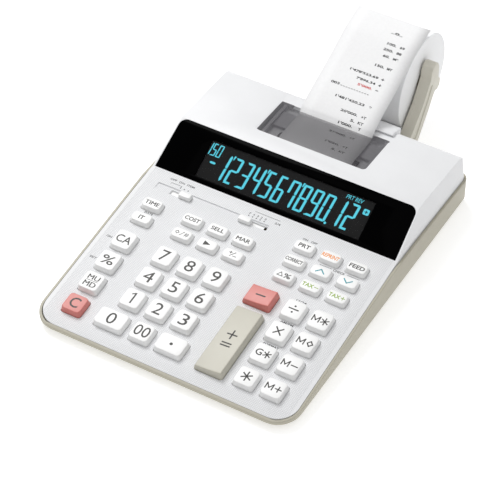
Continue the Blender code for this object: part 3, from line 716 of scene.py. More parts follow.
def build_display():
    border = loft("window_border", slab(DISPLAY, window_outline(0.0), -WINDOW_THICK, 0.0), "window")
    boolean(border, loft("window_aperture", slab(DISPLAY, rectangle(-LCD_HALF, LCD_HALF, *LCD_V), -5, 5)))
    settle(border, 0.12, 2)
    keep(border, "case", ["display_window"])
    low, high = LCD_V
    pane = loft("window_pane", slab(DISPLAY, rectangle(-LCD_HALF, LCD_HALF, low, high), -0.75, -0.02), "pane")
    settle(pane)
    keep(pane, "case")
    glass_outline = rectangle(-LCD_HALF + 0.1, LCD_HALF - 0.1, low + 0.1, high - 0.1)
    base_outline = rectangle(-LCD_HALF - 2, LCD_HALF + 2, low - 1.5, high + 1.5)
    back = -DISPLAY_WALL - CLEARANCE
    glass = lofts("lcd_glass", [
        slab(DISPLAY, glass_outline, back - 0.2, LCD_TOP), slab(DISPLAY, base_outline, back - 1.8, back),
    ], "lcd")
    settle(glass)
    keep(glass, "case", ["lcd_panel"])
    build_segments()


def paint(name, look):
    """Gives a carried-over CAD node its finished material."""
    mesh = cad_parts[name].data
    mesh.materials.clear()
    mesh.materials.append(LOOKS[look])
    mesh.shade_smooth()
    mesh.set_sharp_from_angle(angle=math.radians(35))


# ---------------------------------------------------------------- display segments

SEGMENTS = {
    "0": "abcdef", "1": "bc", "2": "abged", "3": "abgcd", "4": "fgbc", "5": "afgcd", "6": "afgedc",
    "7": "fabc", "8": "abcdefg", "9": "abcdfg",
}
DIGIT_PITCH = 9.45
DIGIT_LEFT = -54.7
DIGIT_LOW_V, DIGIT_HIGH_V = 7.6, 28.4
DIGIT_LEAN = math.tan(math.radians(3.3))
LCD_TOP = -1.0


def segment_outlines(character, width, height, upright, flat):
    """Outlines of the lit bars of one figure, unslanted, with its lower left corner at the origin."""
    lit = SEGMENTS[character]
    middle, gap, cut = height / 2, flat * 0.06, flat * 0.75
    right, up = width - upright, height - flat
    free = upright * 0.5
    a_left = gap if "f" in lit else free
    a_right = width - cut if "b" in lit else right
    d_right = width - cut if "c" in lit else right - 0.2
    a_end, d_end = min(a_right, right - gap), min(d_right, right - gap)
    above, below = middle + flat * 0.45, middle - flat * 0.45
    g_left, g_right = upright * 0.8, right + upright * 0.2
    bars = {
        "a": [(a_left, height), (a_right, height), (a_end, up), (upright + gap, up), (a_left, height - 0.3)],
        "b": [
            (width - cut + gap, height), (width, height - cut), (width, middle + flat * 0.25),
            (width - upright / 2, middle + flat * 0.05), (right, above), (right, up - gap), (right + gap, up),
        ],
        "g": [
            (upright * 0.4, middle), (g_left, above), (g_right, above), (width - upright * 0.4, middle),
            (g_right, below), (g_left, below),
        ],
        "d": [(gap, 0.0), (d_right, 0.0), (d_end, flat), (upright + gap, flat), (gap, 0.3)],
    }
    bars["c"] = [(u, height - v) for u, v in bars["b"]]
    bars["f"] = [(width - u, v) for u, v in bars["b"]]
    bars["e"] = [(width - u, height - v) for u, v in bars["b"]]
    return [bars[letter] for letter in lit]


def figure(character, left, low, width, height, upright, flat, depth):
    bodies = []
    for outline in segment_outlines(character, width, height, upright, flat):
        bodies.append(slab(DISPLAY, [(left + u + v * DIGIT_LEAN, low + v) for u, v in outline], *depth))
    return bodies


def build_segments():
    depth = (LCD_TOP - 0.05, LCD_TOP + 0.03)
    bodies = []
    for i, character in enumerate("123456789012"):
        left = DIGIT_LEFT + DIGIT_PITCH * i
        bodies += figure(character, left, DIGIT_LOW_V, 7.3, DIGIT_HIGH_V - DIGIT_LOW_V, 1.9, 1.6, depth)
    for i, character in enumerate("150"):
        bodies += figure(character, -68.4 + 4.3 * i, 23.2, 3.6, 9.7, 0.85, 0.8, depth)
    sign = [(-61.4, 18.4), (-60.6, 19.2), (-57.2, 19.2), (-56.4, 18.4), (-57.2, 17.6), (-60.6, 17.6)]
    bodies.append(slab(DISPLAY, sign, *depth))
    for i in (1, 4, 7):
        u = DIGIT_LEFT + DIGIT_PITCH * i
        comma = [(u - 0.35, 25.8), (u + 0.35, 25.8), (u + 1.3, 29.0), (u - 0.1, 29.0)]
        bodies.append(slab(DISPLAY, comma, *depth))
    bodies.append(slab(DISPLAY, rounded(37.6, 39.5, 6.5, 8.4, 0.9, steps=4), *depth))
    bodies += badge_bodies((60.5, 65.1, 23.25, 27.65), depth)
    segments = lofts("lcd_segments", bodies, "segment")
    keep(segments, "case")
    at = DISPLAY @ Matrix.Translation((51.1, 31.5, LCD_TOP + 0.01)) @ lean(8.0)
    words = text_mesh("lcd_words", "PRT REV", at, 3.1, 13.0, "segment", 0.08)
    keep(words, "case")


def badge_bodies(limits, depth):
    """A lit rounded square with a dark plus left out of its middle."""
    left, right, low, high = limits
    middle_u, middle_v = (left + right) / 2, (low + high) / 2
    arm, half = 1.3, 0.3
    reach_u, reach_v = (right - left) / 2, (high - low) / 2
    corner = [
        (half, half), (arm, half), (arm, 0), (reach_u, 0), (reach_u, reach_v - 0.8),
        (reach_u - 0.25, reach_v - 0.25), (reach_u - 0.8, reach_v), (0, reach_v), (0, arm), (half, arm),
    ]
    bodies = []
    for mirror_u in (-1, 1):
        for mirror_v in (-1, 1):
            outline = [(middle_u + u * mirror_u, middle_v + v * mirror_v) for u, v in corner]
            bodies.append(slab(DISPLAY, outline, *depth))
    return bodies


def lean(degrees):
    """Italic slant."""
    made = Matrix.Identity(4)
    made[0][1] = math.tan(math.radians(degrees))
    return made


# ---------------------------------------------------------------- keys and legends

def text_mesh(name, string, at, height, width, look, depth=0.04, weight=0.0):
    """Lettering as a thin raised mesh with its capitals' height and its overall width in millimetres."""
    curve = bpy.data.curves.new(name, "FONT")
    curve.body = string
    curve.size = height / 0.69
    curve.extrude = depth / 2
    curve.offset = weight
    curve.resolution_u = 3
    helper = bpy.data.objects.new(name + "_text", curve)
    bpy.context.scene.collection.objects.link(helper)
    graph = bpy.context.evaluated_depsgraph_get()
    mesh = bpy.data.meshes.new_from_object(helper.evaluated_get(graph), depsgraph=graph)
    bpy.data.objects.remove(helper)
    across_x = [v.co.x for v in mesh.vertices]
    along_y = [v.co.y for v in mesh.vertices]
    stretch = width / (max(across_x) - min(across_x)) if width else 1.0
    upright = height / (max(along_y) - min(along_y)) if width else 1.0
    middle = Vector((-(max(across_x) + min(across_x)) / 2, -(max(along_y) + min(along_y)) / 2, 0))
    mesh.transform(Matrix.Diagonal((stretch, upright, 1, 1)) @ Matrix.Translation(middle))
    mesh.transform(Matrix.Scale(MM, 4) @ Matrix.Translation((0, SHIFT_Y, 0)) @ at)
    mesh.materials.clear()
    mesh.materials.append(LOOKS[look])
    made = bpy.data.objects.new(name, mesh)
    bpy.context.scene.collection.objects.link(made)
    return made


def stroke_bodies(at, lines, width, depth=0.04):
    """Drawn marks: each (points, closed) polyline becomes one flat bar per stretch."""
    bodies = []
    for points, closed in lines:
        ends = list(zip(points, points[1:] + points[:1])) if closed else list(zip(points, points[1:]))
        for (u0, v0), (u1, v1) in ends:
            length = math.hypot(u1 - u0, v1 - v0) or 1.0
            du, dv = (u1 - u0) / length * width / 2, (v1 - v0) / length * width / 2
            outline = [
                (u0 - du + dv, v0 - dv - du), (u1 + du + dv, v1 + dv - du),
                (u1 + du - dv, v1 + dv + du), (u0 - du - dv, v0 - dv + du),
            ]
            bodies.append(slab(at, outline, -depth / 2, depth / 2))
    return bodies


def join(objects, name):
    """One mesh object from several."""
    work = bmesh.new()
    for obj in objects:
        work.from_mesh(obj.data)
    mesh = bpy.data.meshes.new(name)
    work.to_mesh(mesh)
    work.free()
    mesh.materials.append(objects[0].data.materials[0])
    for obj in objects:
        bpy.data.objects.remove(obj)
    made = bpy.data.objects.new(name, mesh)
    bpy.context.scene.collection.objects.link(made)
    return made


def star(u, v, radius):
    """Three strokes crossing in the middle."""
    lines = []
    for angle in (30, 90, 150):
        a = math.radians(angle)
        lines += slash(u, v, radius * math.cos(a), radius * math.sin(a))
    return lines


def bar(u, v, half):
    return [([(u - half, v), (u + half, v)], False)]


def plus(u, v, half):
    return bar(u, v, half) + [([(u, v - half), (u, v + half)], False)]


def slash(u, v, half_width, half_height):
    return [([(u - half_width, v - half_height), (u + half_width, v + half_height)], False)]


def diamond(u, v, half_width, half_height):
    return [([(u, v - half_height), (u + half_width, v), (u, v + half_height), (u - half_width, v)], True)]


def chevron(turn):
    """An arrow head that points up the key for 1 and down it for -1."""
    return [([(-3.1, -1.5 * turn), (0, 1.4 * turn), (3.1, -1.5 * turn)], False)]


def dot(u, v, radius):
    turns = [math.radians(angle) for angle in range(0, 360, 20)]
    return [(u + radius * math.cos(a), v + radius * math.sin(a)) for a in turns]


def legend(*texts, lines=(), width=0.5, filled=(), colour="legend"):
    """Lettering as (string, height, width, u, v), drawn lines with their width, and filled outlines."""
    return texts, lines, width, filled, colour


def m_legend(sign):
    """The letter M, drawn, with a sign at its right."""
    letter = [(-5.75, -2.2), (-5.75, 2.3), (-3.3, -1.2), (-0.85, 2.3), (-0.85, -2.2)]
    return legend(lines=[(letter, False)] + sign, width=0.85)


LEGENDS = {
    "key_time": legend(("TIME", 3.4, 11.4, 0, 0)),
    "key_items": legend(("IT", 3.5, 4.3, 0, 0)),
    "key_clear_all": legend(("CA", 6.7, 11.8, 0, 0)),
    "key_percent": legend(("%", 7.9, 9.7, 0, 0)),
    "key_markup": legend(
        ("MU", 4.1, 9.0, 0.1, 2.9), ("MD", 4.3, 9.4, 0.1, -3.2), lines=bar(0.1, 0.0, 4.5), width=0.35,
    ),
    "key_clear": legend(("C", 8.7, 7.2, -0.2, 0.2)),
    "key_cost": legend(("COST", 3.5, 11.8, 0, 0)),
    "key_sell": legend(("SELL", 3.4, 10.3, 0, 0)),
    "key_margin": legend(("MAR", 3.4, 10.6, 0, 0)),
    "key_number": legend(
        ("#", 3.5, 3.1, 3.7, 0), lines=diamond(-3.6, 0, 1.35, 1.35) + slash(0.15, -0.1, 1.1, 1.9), width=0.45,
    ),
    "key_play": legend(filled=[[(-2.7, -2.05), (2.7, 0), (-2.7, 2.05)]]),
    "key_sign": legend(lines=plus(-2.0, 1.0, 1.0) + slash(-0.1, -0.1, 1.5, 2.0) + bar(2.0, -1.5, 1.1)),
    "key_print": legend(("PRT", 3.4, 8.8, 0, 0)),
    "key_reprint": legend(("REPRINT", 3.4, 13.1, 0, 0), colour="legend_orange"),
    "key_feed": legend(("FEED", 3.4, 11.7, 0, 0)),
    "key_correct": legend(("CORRECT", 3.2, 13.2, -0.2, 0)),
    "key_up": legend(lines=chevron(1), width=0.85, colour="legend_teal"),
    "key_down": legend(lines=chevron(-1), width=0.85, colour="legend_teal"),
    "key_change": legend(
        ("%", 4.1, 5.3, 2.6, 0), lines=[([(-4.8, -1.55), (-0.7, -1.55), (-2.75, 1.7)], True)],
    ),
    "key_tax_minus": legend(("TAX", 3.3, 8.7, -1.9, 0), lines=bar(4.45, 0.1, 1.35), colour="legend_green"),
    "key_tax_plus": legend(("TAX", 3.3, 8.7, -1.9, 0), lines=plus(4.45, 0.1, 1.35), colour="legend_green"),
    "key_divide": legend(lines=bar(0, 0, 3.35), width=1.0, filled=[dot(0, 2.7, 0.75), dot(0, -2.7, 0.75)]),
    "key_multiply": legend(lines=slash(0, 0, 2.65, 2.65) + slash(0, 0, 2.65, -2.65), width=1.0),
    "key_memory_total": m_legend(star(3.35, 0, 2.8)),
    "key_memory_subtotal": m_legend(diamond(3.5, 0, 2.0, 2.2)),
    "key_memory_minus": m_legend(bar(3.35, 0, 2.2)),
    "key_memory_plus": m_legend(plus(3.35, 0, 2.1)),
    "key_grand_total": legend(("G", 5.6, 4.9, -2.85, 0), lines=star(3.2, 0, 2.7), width=0.85),
    "key_total": legend(lines=star(0, 0, 3.65), width=1.0),
    "key_minus": legend(lines=bar(0, 0, 3.3), width=1.1),
    "key_plus_equals": legend(lines=plus(0, 4.4, 3.5) + bar(0.1, -3.4, 3.3) + bar(0.1, -5.8, 3.3), width=1.1),
    "key_point": legend(filled=[dot(0, 0, 1.2)]),
    "key_1": legend(filled=[
        [(-0.05, -4.75), (1.15, -4.75), (1.15, 4.95), (0.2, 4.95), (-0.05, 4.3)],
        [(-2.1, 2.5), (-2.1, 3.5), (0.25, 4.95), (0.6, 4.0)],
    ]),
    "key_00": legend(("00", 9.1, 11.5, 0, 0.3)),
}
DIGIT_WIDTHS = {"0": 6.6, "2": 6.5, "3": 6.4, "4": 7.4, "5": 6.2, "6": 6.6, "7": 6.4, "8": 6.7, "9": 6.6}
for digit, digit_width in DIGIT_WIDTHS.items():
    LEGENDS["key_" + digit] = legend((digit, 9.7, digit_width, 0, 0.1))


def key_look(name):
    """The material of a cap, and a second material name that build_key does not use."""
    if name in ("key_clear", "key_minus"):
        return "pink", "key_pink"
    return ("key_beige", "key_beige") if name == "key_plus_equals" else ("key", "key_white")


CAP_FOOT = -2.6
FLANGE_TOP = -2.1


def flat_cap(name, look):
    """A cap with nearly upright sides that ease outward at the foot, and a flat top with a soft edge."""
    u0, u1, v0, v1, top = KEYS[name]
    draft = 0.62
    soft = 0.45
    sections = [
        (CAP_FOOT, KEY_FLANGE, 1.2), (FLANGE_TOP, KEY_FLANGE, 1.2), (FLANGE_TOP, 0.0, 1.9), (0.3, 0.0, 1.9),
        (1.0, -0.12, 2.0),
    ]
    for step in range(5):
        angle = math.radians(90 * step / 4)
        sections.append((top - soft + soft * math.sin(angle), -draft - soft * (1 - math.cos(angle)), 2.5))
    rings = []
    for n, grow, corner in sections:
        rings.append(place(DECK, rounded(u0 - grow, u1 + grow, v0 - grow, v1 + grow, corner, steps=5), n))
    at = DECK @ Matrix.Translation(((u0 + u1) / 2, (v0 + v1) / 2, top + 0.03))
    return loft("cap_" + name[4:], rings, look), at


def hollow_cap(name, look, steps=14):
    """A broad cap whose hollow top climbs from its left edge to its right edge."""
    u0, u1, v0, v1, top = KEYS[name]
    low, lean_in = top - 1.95, 0.9
    left, right = u0 + lean_in, u1 - lean_in
    surface = []
    for step in range(steps + 1):
        share = step / steps
        surface.append((right + (left - right) * share, low + (top - low) * (1 - share) ** 1.7))
    section = [(u0, 0.2), (u1, 0.2), (u1 - 0.1, 1.0)] + surface + [(u0 + 0.1, 1.0)]
    lean_v = 0.16
    body = []
    for edge, inward in ((v0, lean_v), (v1, -lean_v)):
        body.append([DECK @ Vector((u, edge + inward * n, n)) for u, n in section])
    cap = loft("cap_" + name[4:], body, look)
    settle(cap, 0.7, 4, 33.0)
    flange = rounded(u0 - KEY_FLANGE, u1 + KEY_FLANGE, v0 - KEY_FLANGE, v1 + KEY_FLANGE, 1.2)
    stem = rounded(u0, u1, v0, v1, 1.2)
    foot = lofts("cap_foot", [
        slab(DECK, flange, CAP_FOOT, FLANGE_TOP), slab(DECK, stem, FLANGE_TOP - 0.1, 0.6),
    ], look)
    cap = join([cap, foot], "cap_" + name[4:] + "_joined")
    middle = low + (top - low) * 0.5 ** 1.7
    slope = (top - low) * 1.7 * 0.5 ** 0.7 / (right - left)
    at = DECK @ Matrix.Translation(((u0 + u1) / 2, (v0 + v1) / 2, middle + 0.07))
    return cap, at @ Matrix.Rotation(-math.atan(slope), 4, "Y")


def text_weight(string, height):
    """How much bolder than the plain lettering a legend is."""
    if "M" in string or string in "#4":
        return 0.0
    return 0.03 if height > 9.0 else 0.11


def build_key(name):
    look, slot = key_look(name)
    cap, at = hollow_cap(name, look) if name in ("key_minus", "key_plus_equals") else flat_cap(name, look)
    keep(settle(cap, smooth=30.0), name, [name])
    texts, lines, line_width, filled, colour = LEGENDS[name]
    marks = []
    for i, (string, height, width, u, v) in enumerate(texts):
        spot = at @ Matrix.Translation((u, v, 0))
        weight = text_weight(string, height)
        marks.append(text_mesh(f"mark_{i}", string, spot, height, width, colour, weight=weight))
        if "M" in string:
            for k, shift in ((1, -0.13), (2, 0.13)):
                beside = spot @ Matrix.Translation((shift, 0, -0.004 * k))
                marks.append(text_mesh(f"mark_{i}_{k}", string, beside, height, width, colour))
    bodies = stroke_bodies(at, lines, line_width) + [slab(at, outline, -0.02, 0.02) for outline in filled]
    if bodies:
        marks.append(lofts("mark_lines", bodies, colour))
    keep(join(marks, "legend_" + name[4:]), name)


# Small grey lettering printed on the deck: string, height, width, u, v
DECK_LABELS = (
    ("ON   OFF", 1.7, 11.4, 36.8, -11.1), ("CHECK", 1.8, 9.2, 68.2, -26.4), ("12/24", 1.8, 7.9, 57.8, -61.2),
    ("AM/PM", 1.8, 10.2, 58.0, -82.1), ("FORMAT", 1.8, 12.0, 58.0, -103.5), ("DATE", 1.7, 6.7, -78.0, -40.5),
    ("ON", 1.7, 4.5, -91.8, -71.4), ("SET", 1.7, 5.5, -91.7, -92.8),
    ("OFF  ON  ITEM", 1.7, 20.2, -71.2, -5.0), ("F", 1.8, 1.1, -13.6, -7.6), ("4", 1.8, 1.2, -10.4, -7.6),
    ("3", 1.8, 1.2, -7.3, -7.6), ("2", 1.8, 1.2, -4.2, -7.6), ("0", 1.8, 1.2, -1.0, -7.6),
    ("5/4", 1.8, 4.3, 8.8, -7.6),
)
DECK_RULES = (
    [(52.9, -26.1), (62.1, -26.1)],
    [(74.4, -26.1), (83.9, -26.1)],
    [(-78.6, -9.0), (-78.6, -8.0), (-70.0, -8.0), (-70.0, -9.0)],
    [(-11.0, -4.4), (9.1, -4.4)],
)
DECK_DOTS = (
    (-70.2, -9.7), (-67.0, -9.7), (-63.8, -9.7), (-13.6, -9.8), (-10.4, -9.8), (-7.3, -9.8), (-4.2, -9.8),
    (-1.0, -9.8),
)


def build_labels():
    at = DECK @ Matrix.Translation((0, 0, 0.03))
    marks = []
    for i, (string, height, width, u, v) in enumerate(DECK_LABELS):
        spot = at @ Matrix.Translation((u, v, 0))
        marks.append(text_mesh(f"label_{i}", string, spot, height, width, "label", 0.02, 0.05))
    bodies = stroke_bodies(at, [(rule, False) for rule in DECK_RULES], 0.3, 0.02)
    for u, v in DECK_DOTS:
        bodies.append(slab(at, [(u + du, v + dv) for du, dv in dot(0, 0, 0.5)], -0.01, 0.01))
    marks.append(lofts("label_rules", bodies, "label"))
    keep(join(marks, "deck_labels"), "case")


def build_switches():
    """Each knob, with its neck through the slot and a thin plate under the deck."""
    low = -DECK_WALL - CLEARANCE
    reach = 10.0
    for name, (neck, cap, height, _) in SWITCHES.items():
        side = name.split("_")[-1]
        rings = []
        for n, shrink in ((0.3, 0.0), (height - 0.5, 0.25), (height - 0.12, 0.5), (height, 0.9)):
            limits = (cap[0] + shrink, cap[1] - shrink, cap[2] + shrink, cap[3] - shrink)
            rings.append(place(DECK, rounded(*limits, 0.7, steps=4), n))
        knob = loft("knob_" + side, rings, "key")
        keep(settle(knob), name, [name])
        shield = (neck[0] - reach, neck[1] + reach, cap[2] - 0.6, cap[3] + 1.2)
        stem = lofts("stem_" + side, [
            slab(DECK, rectangle(*neck), low - 0.4, 0.3),
            slab(DECK, rectangle(*shield), low + 0.02, low + 0.22),
        ], "key")
        keep(settle(stem), name)


# ---------------------------------------------------------------- printer, paper and holder

def build_cover():
    """The smoke-tinted pane over the printer, notched where the paper comes out."""
    gap = CLEARANCE
    x_low, x_high = BAY_X[0] + gap, BAY_X[1] - gap
    y_low, y_high = BAY_Y[0] + gap, BAY_Y[1] - 0.6
    notch_x, notch_y = (-33.5, 33.0), 87.9
    corner = 5
    outline = [(x_low, y_low), (x_high - corner, y_low)]
    for angle in range(15, 91, 15):
        a = math.radians(angle)
        outline.append((x_high - corner + corner * math.sin(a), y_low + corner - corner * math.cos(a)))
    outline += [
        (x_high, y_high), (notch_x[1], y_high), (notch_x[1], notch_y), (notch_x[0], notch_y),
        (notch_x[0], y_high), (x_low, y_high),
    ]
    outline = [(x, y - RIDGE_Y) for x, y in outline]
    cover = loft("clear_cover", slab(ROOF, outline, -1.5, -0.3), "smoke")
    settle(cover, 0.2, 2)
    keep(cover, "printer_cover", ["printer_cover"])


def smooth_path(points, per_stretch=6):
    """A Catmull-Rom curve through the points."""
    path = []
    for i in range(len(points) - 1):
        a, b, c, d = [Vector(points[min(max(k, 0), len(points) - 1)]) for k in (i - 1, i, i + 1, i + 2)]
        square, cube = 2 * a - 5 * b + 4 * c - d, 3 * b - a - 3 * c + d
        for step in range(per_stretch):
            t = step / per_stretch
            path.append(0.5 * (2 * b + (c - a) * t + square * t * t + cube * t ** 3))
    path.append(Vector(points[-1]))
    return path


FEED_PATH = arc_yz(ROLL_YZ, ROLL_RADIUS + 0.6, -78, -116.8, 4)
FEED_PATH += [(124.0, 20.0), (111.0, 26.6), (100.0, 29.0), (80.0, 29.0)]
WRAP_PATH = arc_yz(PLATEN_YZ, PLATEN_RADIUS + 0.5, -85, -275, 14)
SLOT_PATH = [(76.0, 42.3), (85.8, 42.3), (88.2, 43.3), (90.3, 45.3), (94.0, 48.0)]
STRIP_PATH = [
    (109.3, 55.2), (132.0, 64.4), (154.2, 75.0), (161.5, 77.7), (169.5, 79.8), (174.0, 80.9), (178.0, 81.7),
]


def strip_normals(path):
    """At each point of the path, the direction out of the paper's printed face."""
    normals = []
    for i in range(len(path)):
        step = path[min(i + 1, len(path) - 1)] - path[max(i - 1, 0)]
        normals.append(Vector((-step.y, step.x)).normalized())
    return normals


def build_strip():
    """The paper from the roll, round the platen, up through the slot and back over the roll."""
    path = smooth_path(FEED_PATH + WRAP_PATH + SLOT_PATH + STRIP_PATH, 4)
    normals = strip_normals(path)
    half = 0.06
    columns = 7
    points = []
    faces = []
    for point, normal in zip(path, normals):
        for side in (-half, half):
            for column in range(columns):
                x = PAPER_X[0] + (PAPER_X[1] - PAPER_X[0]) * column / (columns - 1)
                spot = point + normal * side
                points.append(Vector((x, spot.x, spot.y)))
    row = 2 * columns
    for i in range(len(path) - 1):
        for k in range(columns - 1):
            low, high = i * row + k, (i + 1) * row + k
            faces.append((low, low + 1, high + 1, high))
            faces.append((low + columns, high + columns, high + columns + 1, low + columns + 1))
        for k in (0, columns - 1):
            low, high = i * row + k, (i + 1) * row + k
            faces.append((low, high, high + columns, low + columns))
    for i in (0, len(path) - 1):
        for k in range(columns - 1):
            low = i * row + k
            faces.append((low, low + 1, low + columns + 1, low + columns))
    strip = mesh_object("receipt_strip", points, faces, "paper")
    strip.data.shade_smooth()
    bend(strip)
    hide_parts("paper_strip")
    build_print(path)


def bend(obj):
    """Paper that crosses from the case to the lifting holder: makes the piece render and bakes its transform
    into its mesh.
    """
    obj.hide_render = False
    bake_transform(obj)


# Each printed line: distance along the paper from the platen, figures, their left and right ends, the mark
# beside them, and the mark's ends. The marks are plain signs and letters.
PRINT_LINES = (
    (-10.5, "5.", 11.4, 15.0, "KT", 17.6, 22.0), (-4.6, "1'050.", 3.4, 14.6, "+T", 17.4, 21.6),
    (6.6, "21'000.", 0.3, 14.3, "+T", 17.2, 21.2), (15.8, "1'000.", 3.4, 14.9, "T", 19.7, 21.9),
    (20.1, "5.", 11.4, 15.0, "KT", 17.6, 22.0), (25.2, "20'000.", 1.0, 14.8, "+T", 17.8, 21.8),
    (34.5, "1'481'420.23", -8.0, 15.8, "*", 19.6, 21.8),
    (44.0, "003", -16.5, -9.6, ". . . . . . . . . . .", -8.6, 14.8),
    (48.9, "5'000.", 2.9, 14.7, "-", 17.6, 19.8), (53.6, "7'896.34", -0.4, 15.1, "+", 17.7, 19.9),
    (58.8, "1'478'523.69", -8.2, 15.0, "+", 17.5, 19.8), (68.2, "150.", 7.7, 15.2, "MT", 17.5, 21.6),
    (77.2, "60.", 9.8, 15.2, "M*", 18.1, 22.3), (82.3, "250.", 7.7, 15.7, "88", 18.4, 22.4),
    (87.4, "100.", 8.4, 15.9, "69", 18.8, 22.6), (97.3, "..0..", 6.9, 16.2, "", 0, 0),
)


def path_matrix(path, distance):
    """A frame lying on the paper's outer face at a distance along it from the exit of the slot path."""
    travelled = 0.0
    start = next(i for i, p in enumerate(path) if p.x > 75.9 and p.y > 41.0)
    if distance < 0:
        return path_matrix_back(path, start, -distance)
    for low, high in zip(path[start:], path[start + 1:]):
        length = (high - low).length
        if travelled + length >= distance:
            return surface_frame(low.lerp(high, (distance - travelled) / length), (high - low).normalized())
        travelled += length
    return surface_frame(path[-1], (path[-1] - path[-2]).normalized())


def path_matrix_back(path, start, distance):
    """The same, backward from the start."""
    travelled = 0.0
    for i in range(start, 0, -1):
        length = (path[i] - path[i - 1]).length
        if travelled + length >= distance:
            spot = path[i].lerp(path[i - 1], (distance - travelled) / length)
            return surface_frame(spot, (path[i] - path[i - 1]).normalized())
        travelled += length
    return surface_frame(path[0], (path[1] - path[0]).normalized())


def surface_frame(spot, along):
    """A frame on the paper, just clear of its face."""
    normal = Vector((-along.y, along.x))
    return Matrix((
        (1, 0, 0, 0),
        (0, along.x, normal.x, spot.x + normal.x * 0.08),
        (0, along.y, normal.y, spot.y + normal.y * 0.08),
        (0, 0, 0, 1),
    ))


def build_print(path):
    """The printed lines, in black and in red, bent with the strip."""
    black, red = [], []
    for distance, amount, left, right, sign, sign_left, sign_right in PRINT_LINES:
        at = path_matrix(path, distance)
        rows, look = (red, "print_red") if sign == "-" else (black, "print")
        for string, low, high in ((amount, left, right), (sign, sign_left, sign_right)):
            if not string:
                continue
            dotted = string[:3] == ". ."
            height = 0.6 if dotted or string == "-" else 2.05
            spot = at @ Matrix.Translation(((low + high) / 2, -0.6 if dotted else 0, 0))
            ink = "print" if string == "-" else look
            target = black if string == "-" else rows
            target.append(text_mesh(f"ink_{len(target)}", string, spot, height, high - low, ink, 0.03, 0.09))
    for rows, name in ((black, "receipt_print"), (red, "receipt_print_red")):
        piece = join(rows, name)
        bend(piece)


def turned(name, centre, steps, segments, look):
    """A round body along X from (x, radius) steps, open where the first and last radius are not zero."""
    rings = [[Vector((x, y, z)) for y, z in circle_yz(centre, radius, segments)] for x, radius in steps]
    return loft(name, rings, look)


def tube(name, centre, x_low, x_high, inner, outer, look, segments=96, edge=0.4):
    """A hollow round body along X whose two outer edges are cut off at 45 degrees."""
    rings_at = [
        (x_low, inner), (x_low, outer - edge), (x_low + edge, outer), (x_high - edge, outer),
        (x_high, outer - edge), (x_high, inner),
    ]
    points = []
    for x, radius in rings_at:
        points += [Vector((x, y, z)) for y, z in circle_yz(centre, radius, segments)]
    faces = []
    rows = len(rings_at)
    for row in range(rows):
        low, high = row * segments, (row + 1) % rows * segments
        for i in range(segments):
            j = (i + 1) % segments
            faces.append((low + i, low + j, high + j, high + i))
    return mesh_object(name, points, faces, look)


def build_roll():
    """The wound paper on its card core."""
    roll = settle(tube("roll_paper", ROLL_YZ, *PAPER_X, CORE_RADIUS + 1.2, ROLL_RADIUS, "roll", 128))
    keep(roll, "paper_roll", ["paper_roll"])
    ends = (PAPER_X[0] + 0.4, PAPER_X[1] - 0.4)
    core = settle(tube("roll_core", ROLL_YZ, *ends, CORE_RADIUS, CORE_RADIUS + 1.15, "core", 64, 0.2))
    keep(core, "paper_roll")


LEFT_ARM, RIGHT_ARM = 5.5, 9.0
ARM_OUTLINE = [
    (PIVOT_YZ[0] - 4.6, PIVOT_YZ[1] - 2.6), (PIVOT_YZ[0] - 1.5, PIVOT_YZ[1] - 5.2), (140.0, 2.4),
    (146.4, 2.6), (161.5, 21.3), (170.3, 34.0), (174.2, 32.4), (178.2, 34.8), (178.4, 40.4), (175.4, 44.0),
    (175.1, 54.6), (173.0, 58.9), (168.9, 60.9), (164.8, 59.4), (162.7, 55.4), (161.9, 49.1), (150.4, 32.5),
    (131.9, 14.4), (PIVOT_YZ[0] + 0.5, 15.2), (PIVOT_YZ[0] - 3.6, 13.2),
    (PIVOT_YZ[0] - 5.2, PIVOT_YZ[1] + 0.6),
]


def build_holder():
    """Two arms with bosses for the core, joined by the crossbar they turn on."""
    left, right = PAPER_X[0] - 1.5, PAPER_X[1] + 1.5
    groove = [(134.5, 10.5), (142.5, 8.0), (160.5, 33.0), (166.0, 43.0), (161.0, 43.5), (148.5, 26.0)]
    far_left, far_right = left - LEFT_ARM, right + RIGHT_ARM
    arms = (("left", far_left, left, far_left), ("right", right, far_right, far_right))
    for side, x_low, x_high, outside in arms:
        arm = loft(f"holder_arm_{side}", across(ARM_OUTLINE, x_low, x_high), "arm")
        boolean(arm, loft("arm_groove", across(groove, outside - 0.8, outside + 0.8)))
        settle(arm, 0.9, 3, 25.0)
        keep(arm, "paper_holder", ["paper_holder"] if side == "right" else ())
    bar_piece = settle(turned("holder_crossbar", PIVOT_YZ, ((left - 1, 4.0), (right + 1, 4.0)), 40, "arm"))
    keep(bar_piece, "paper_holder")
    bosses = (
        ("left", ((left - 1, 5.5), (left + 6.5, 5.5), (left + 7, 5.0))),
        ("right", ((right - 7, 5.0), (right - 6.5, 5.5), (right + 1, 5.5))),
    )
    for side, steps in bosses:
        boss = settle(turned(f"holder_boss_{side}", SPINDLE_YZ, steps, 40, "arm"))
        keep(boss, "paper_holder")


CARRIED_LOOKS = {
    "printer_frame": "dark", "print_carriage": "grey", "platen_roller": "rubber", "main_board": "board",
    "front_foot": "rubber", "rear_foot": "rubber", "battery_cover": "tray",
}


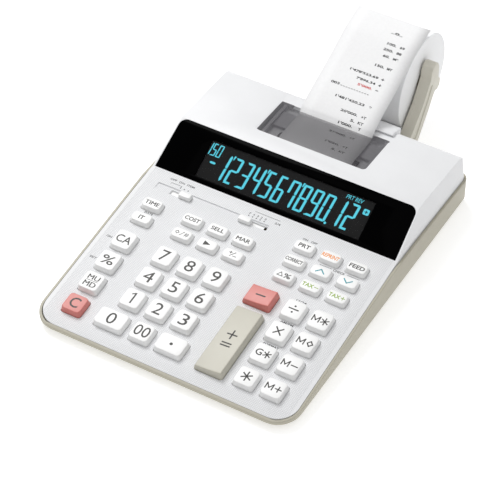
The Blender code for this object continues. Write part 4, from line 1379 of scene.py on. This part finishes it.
def build_inside():
    """The parts that keep their CAD shape."""
    for name, look in CARRIED_LOOKS.items():
        paint(name, look)


# ---------------------------------------------------------------- stage, lights, camera

def build_stage():
    floor_material, tree, shader = new_material("floor_white", (0.80, 0.80, 0.80), 0.9, Emission_Strength=0.5)
    shader.inputs["Emission Color"].default_value = (1, 1, 1, 1)
    vary_colour(tree, shader, (0.80, 0.80, 0.80), 0.004, 4.0)
    bpy.ops.mesh.primitive_plane_add(size=12)
    floor = bpy.context.object
    floor.name = "floor"
    floor.location = (0, 0, -0.0005)
    floor.data.materials.append(floor_material)


def area_light(name, location, target, size, power):
    data = bpy.data.lights.new(name, "AREA")
    data.size = size
    data.energy = power
    light = bpy.data.objects.new(name, data)
    light.location = location
    light.rotation_mode = "QUATERNION"
    light.rotation_quaternion = (Vector(target) - Vector(location)).to_track_quat("-Z", "Y")
    bpy.context.scene.collection.objects.link(light)


def build_lights():
    world = bpy.data.worlds.new("studio")
    world.use_nodes = True
    world.node_tree.nodes["Background"].inputs[0].default_value = (1, 1, 1, 1)
    world.node_tree.nodes["Background"].inputs[1].default_value = 0.50
    bpy.context.scene.world = world
    area_light("key_light", (-0.9, 0.5, 1.5), (0, 0, 0), 0.8, 18.0)
    area_light("top_light", (0.2, -0.3, 1.8), (0, 0, 0), 1.4, 4.5)


def build_camera():
    data = bpy.data.cameras.new("camera")
    data.sensor_width = 36
    data.lens = 157.79
    data.clip_end = 20
    camera = bpy.data.objects.new("camera", data)
    camera.location = (0.554289, (-990.214 + SHIFT_Y) * MM, 1.085699)
    camera.rotation_euler = (0.802749, -0.001965, 0.525978)
    bpy.context.scene.collection.objects.link(camera)
    bpy.context.scene.camera = camera


build_case()
build_ledge()
build_tray()
build_power_jack()
build_screws()
build_battery_grip()
build_display()
build_labels()
for key in KEYS:
    build_key(key)
build_switches()
build_cover()
build_strip()
build_roll()
build_holder()
build_inside()
build_stage()
build_lights()
build_camera()
bpy.context.scene.view_settings.view_transform = "Standard"
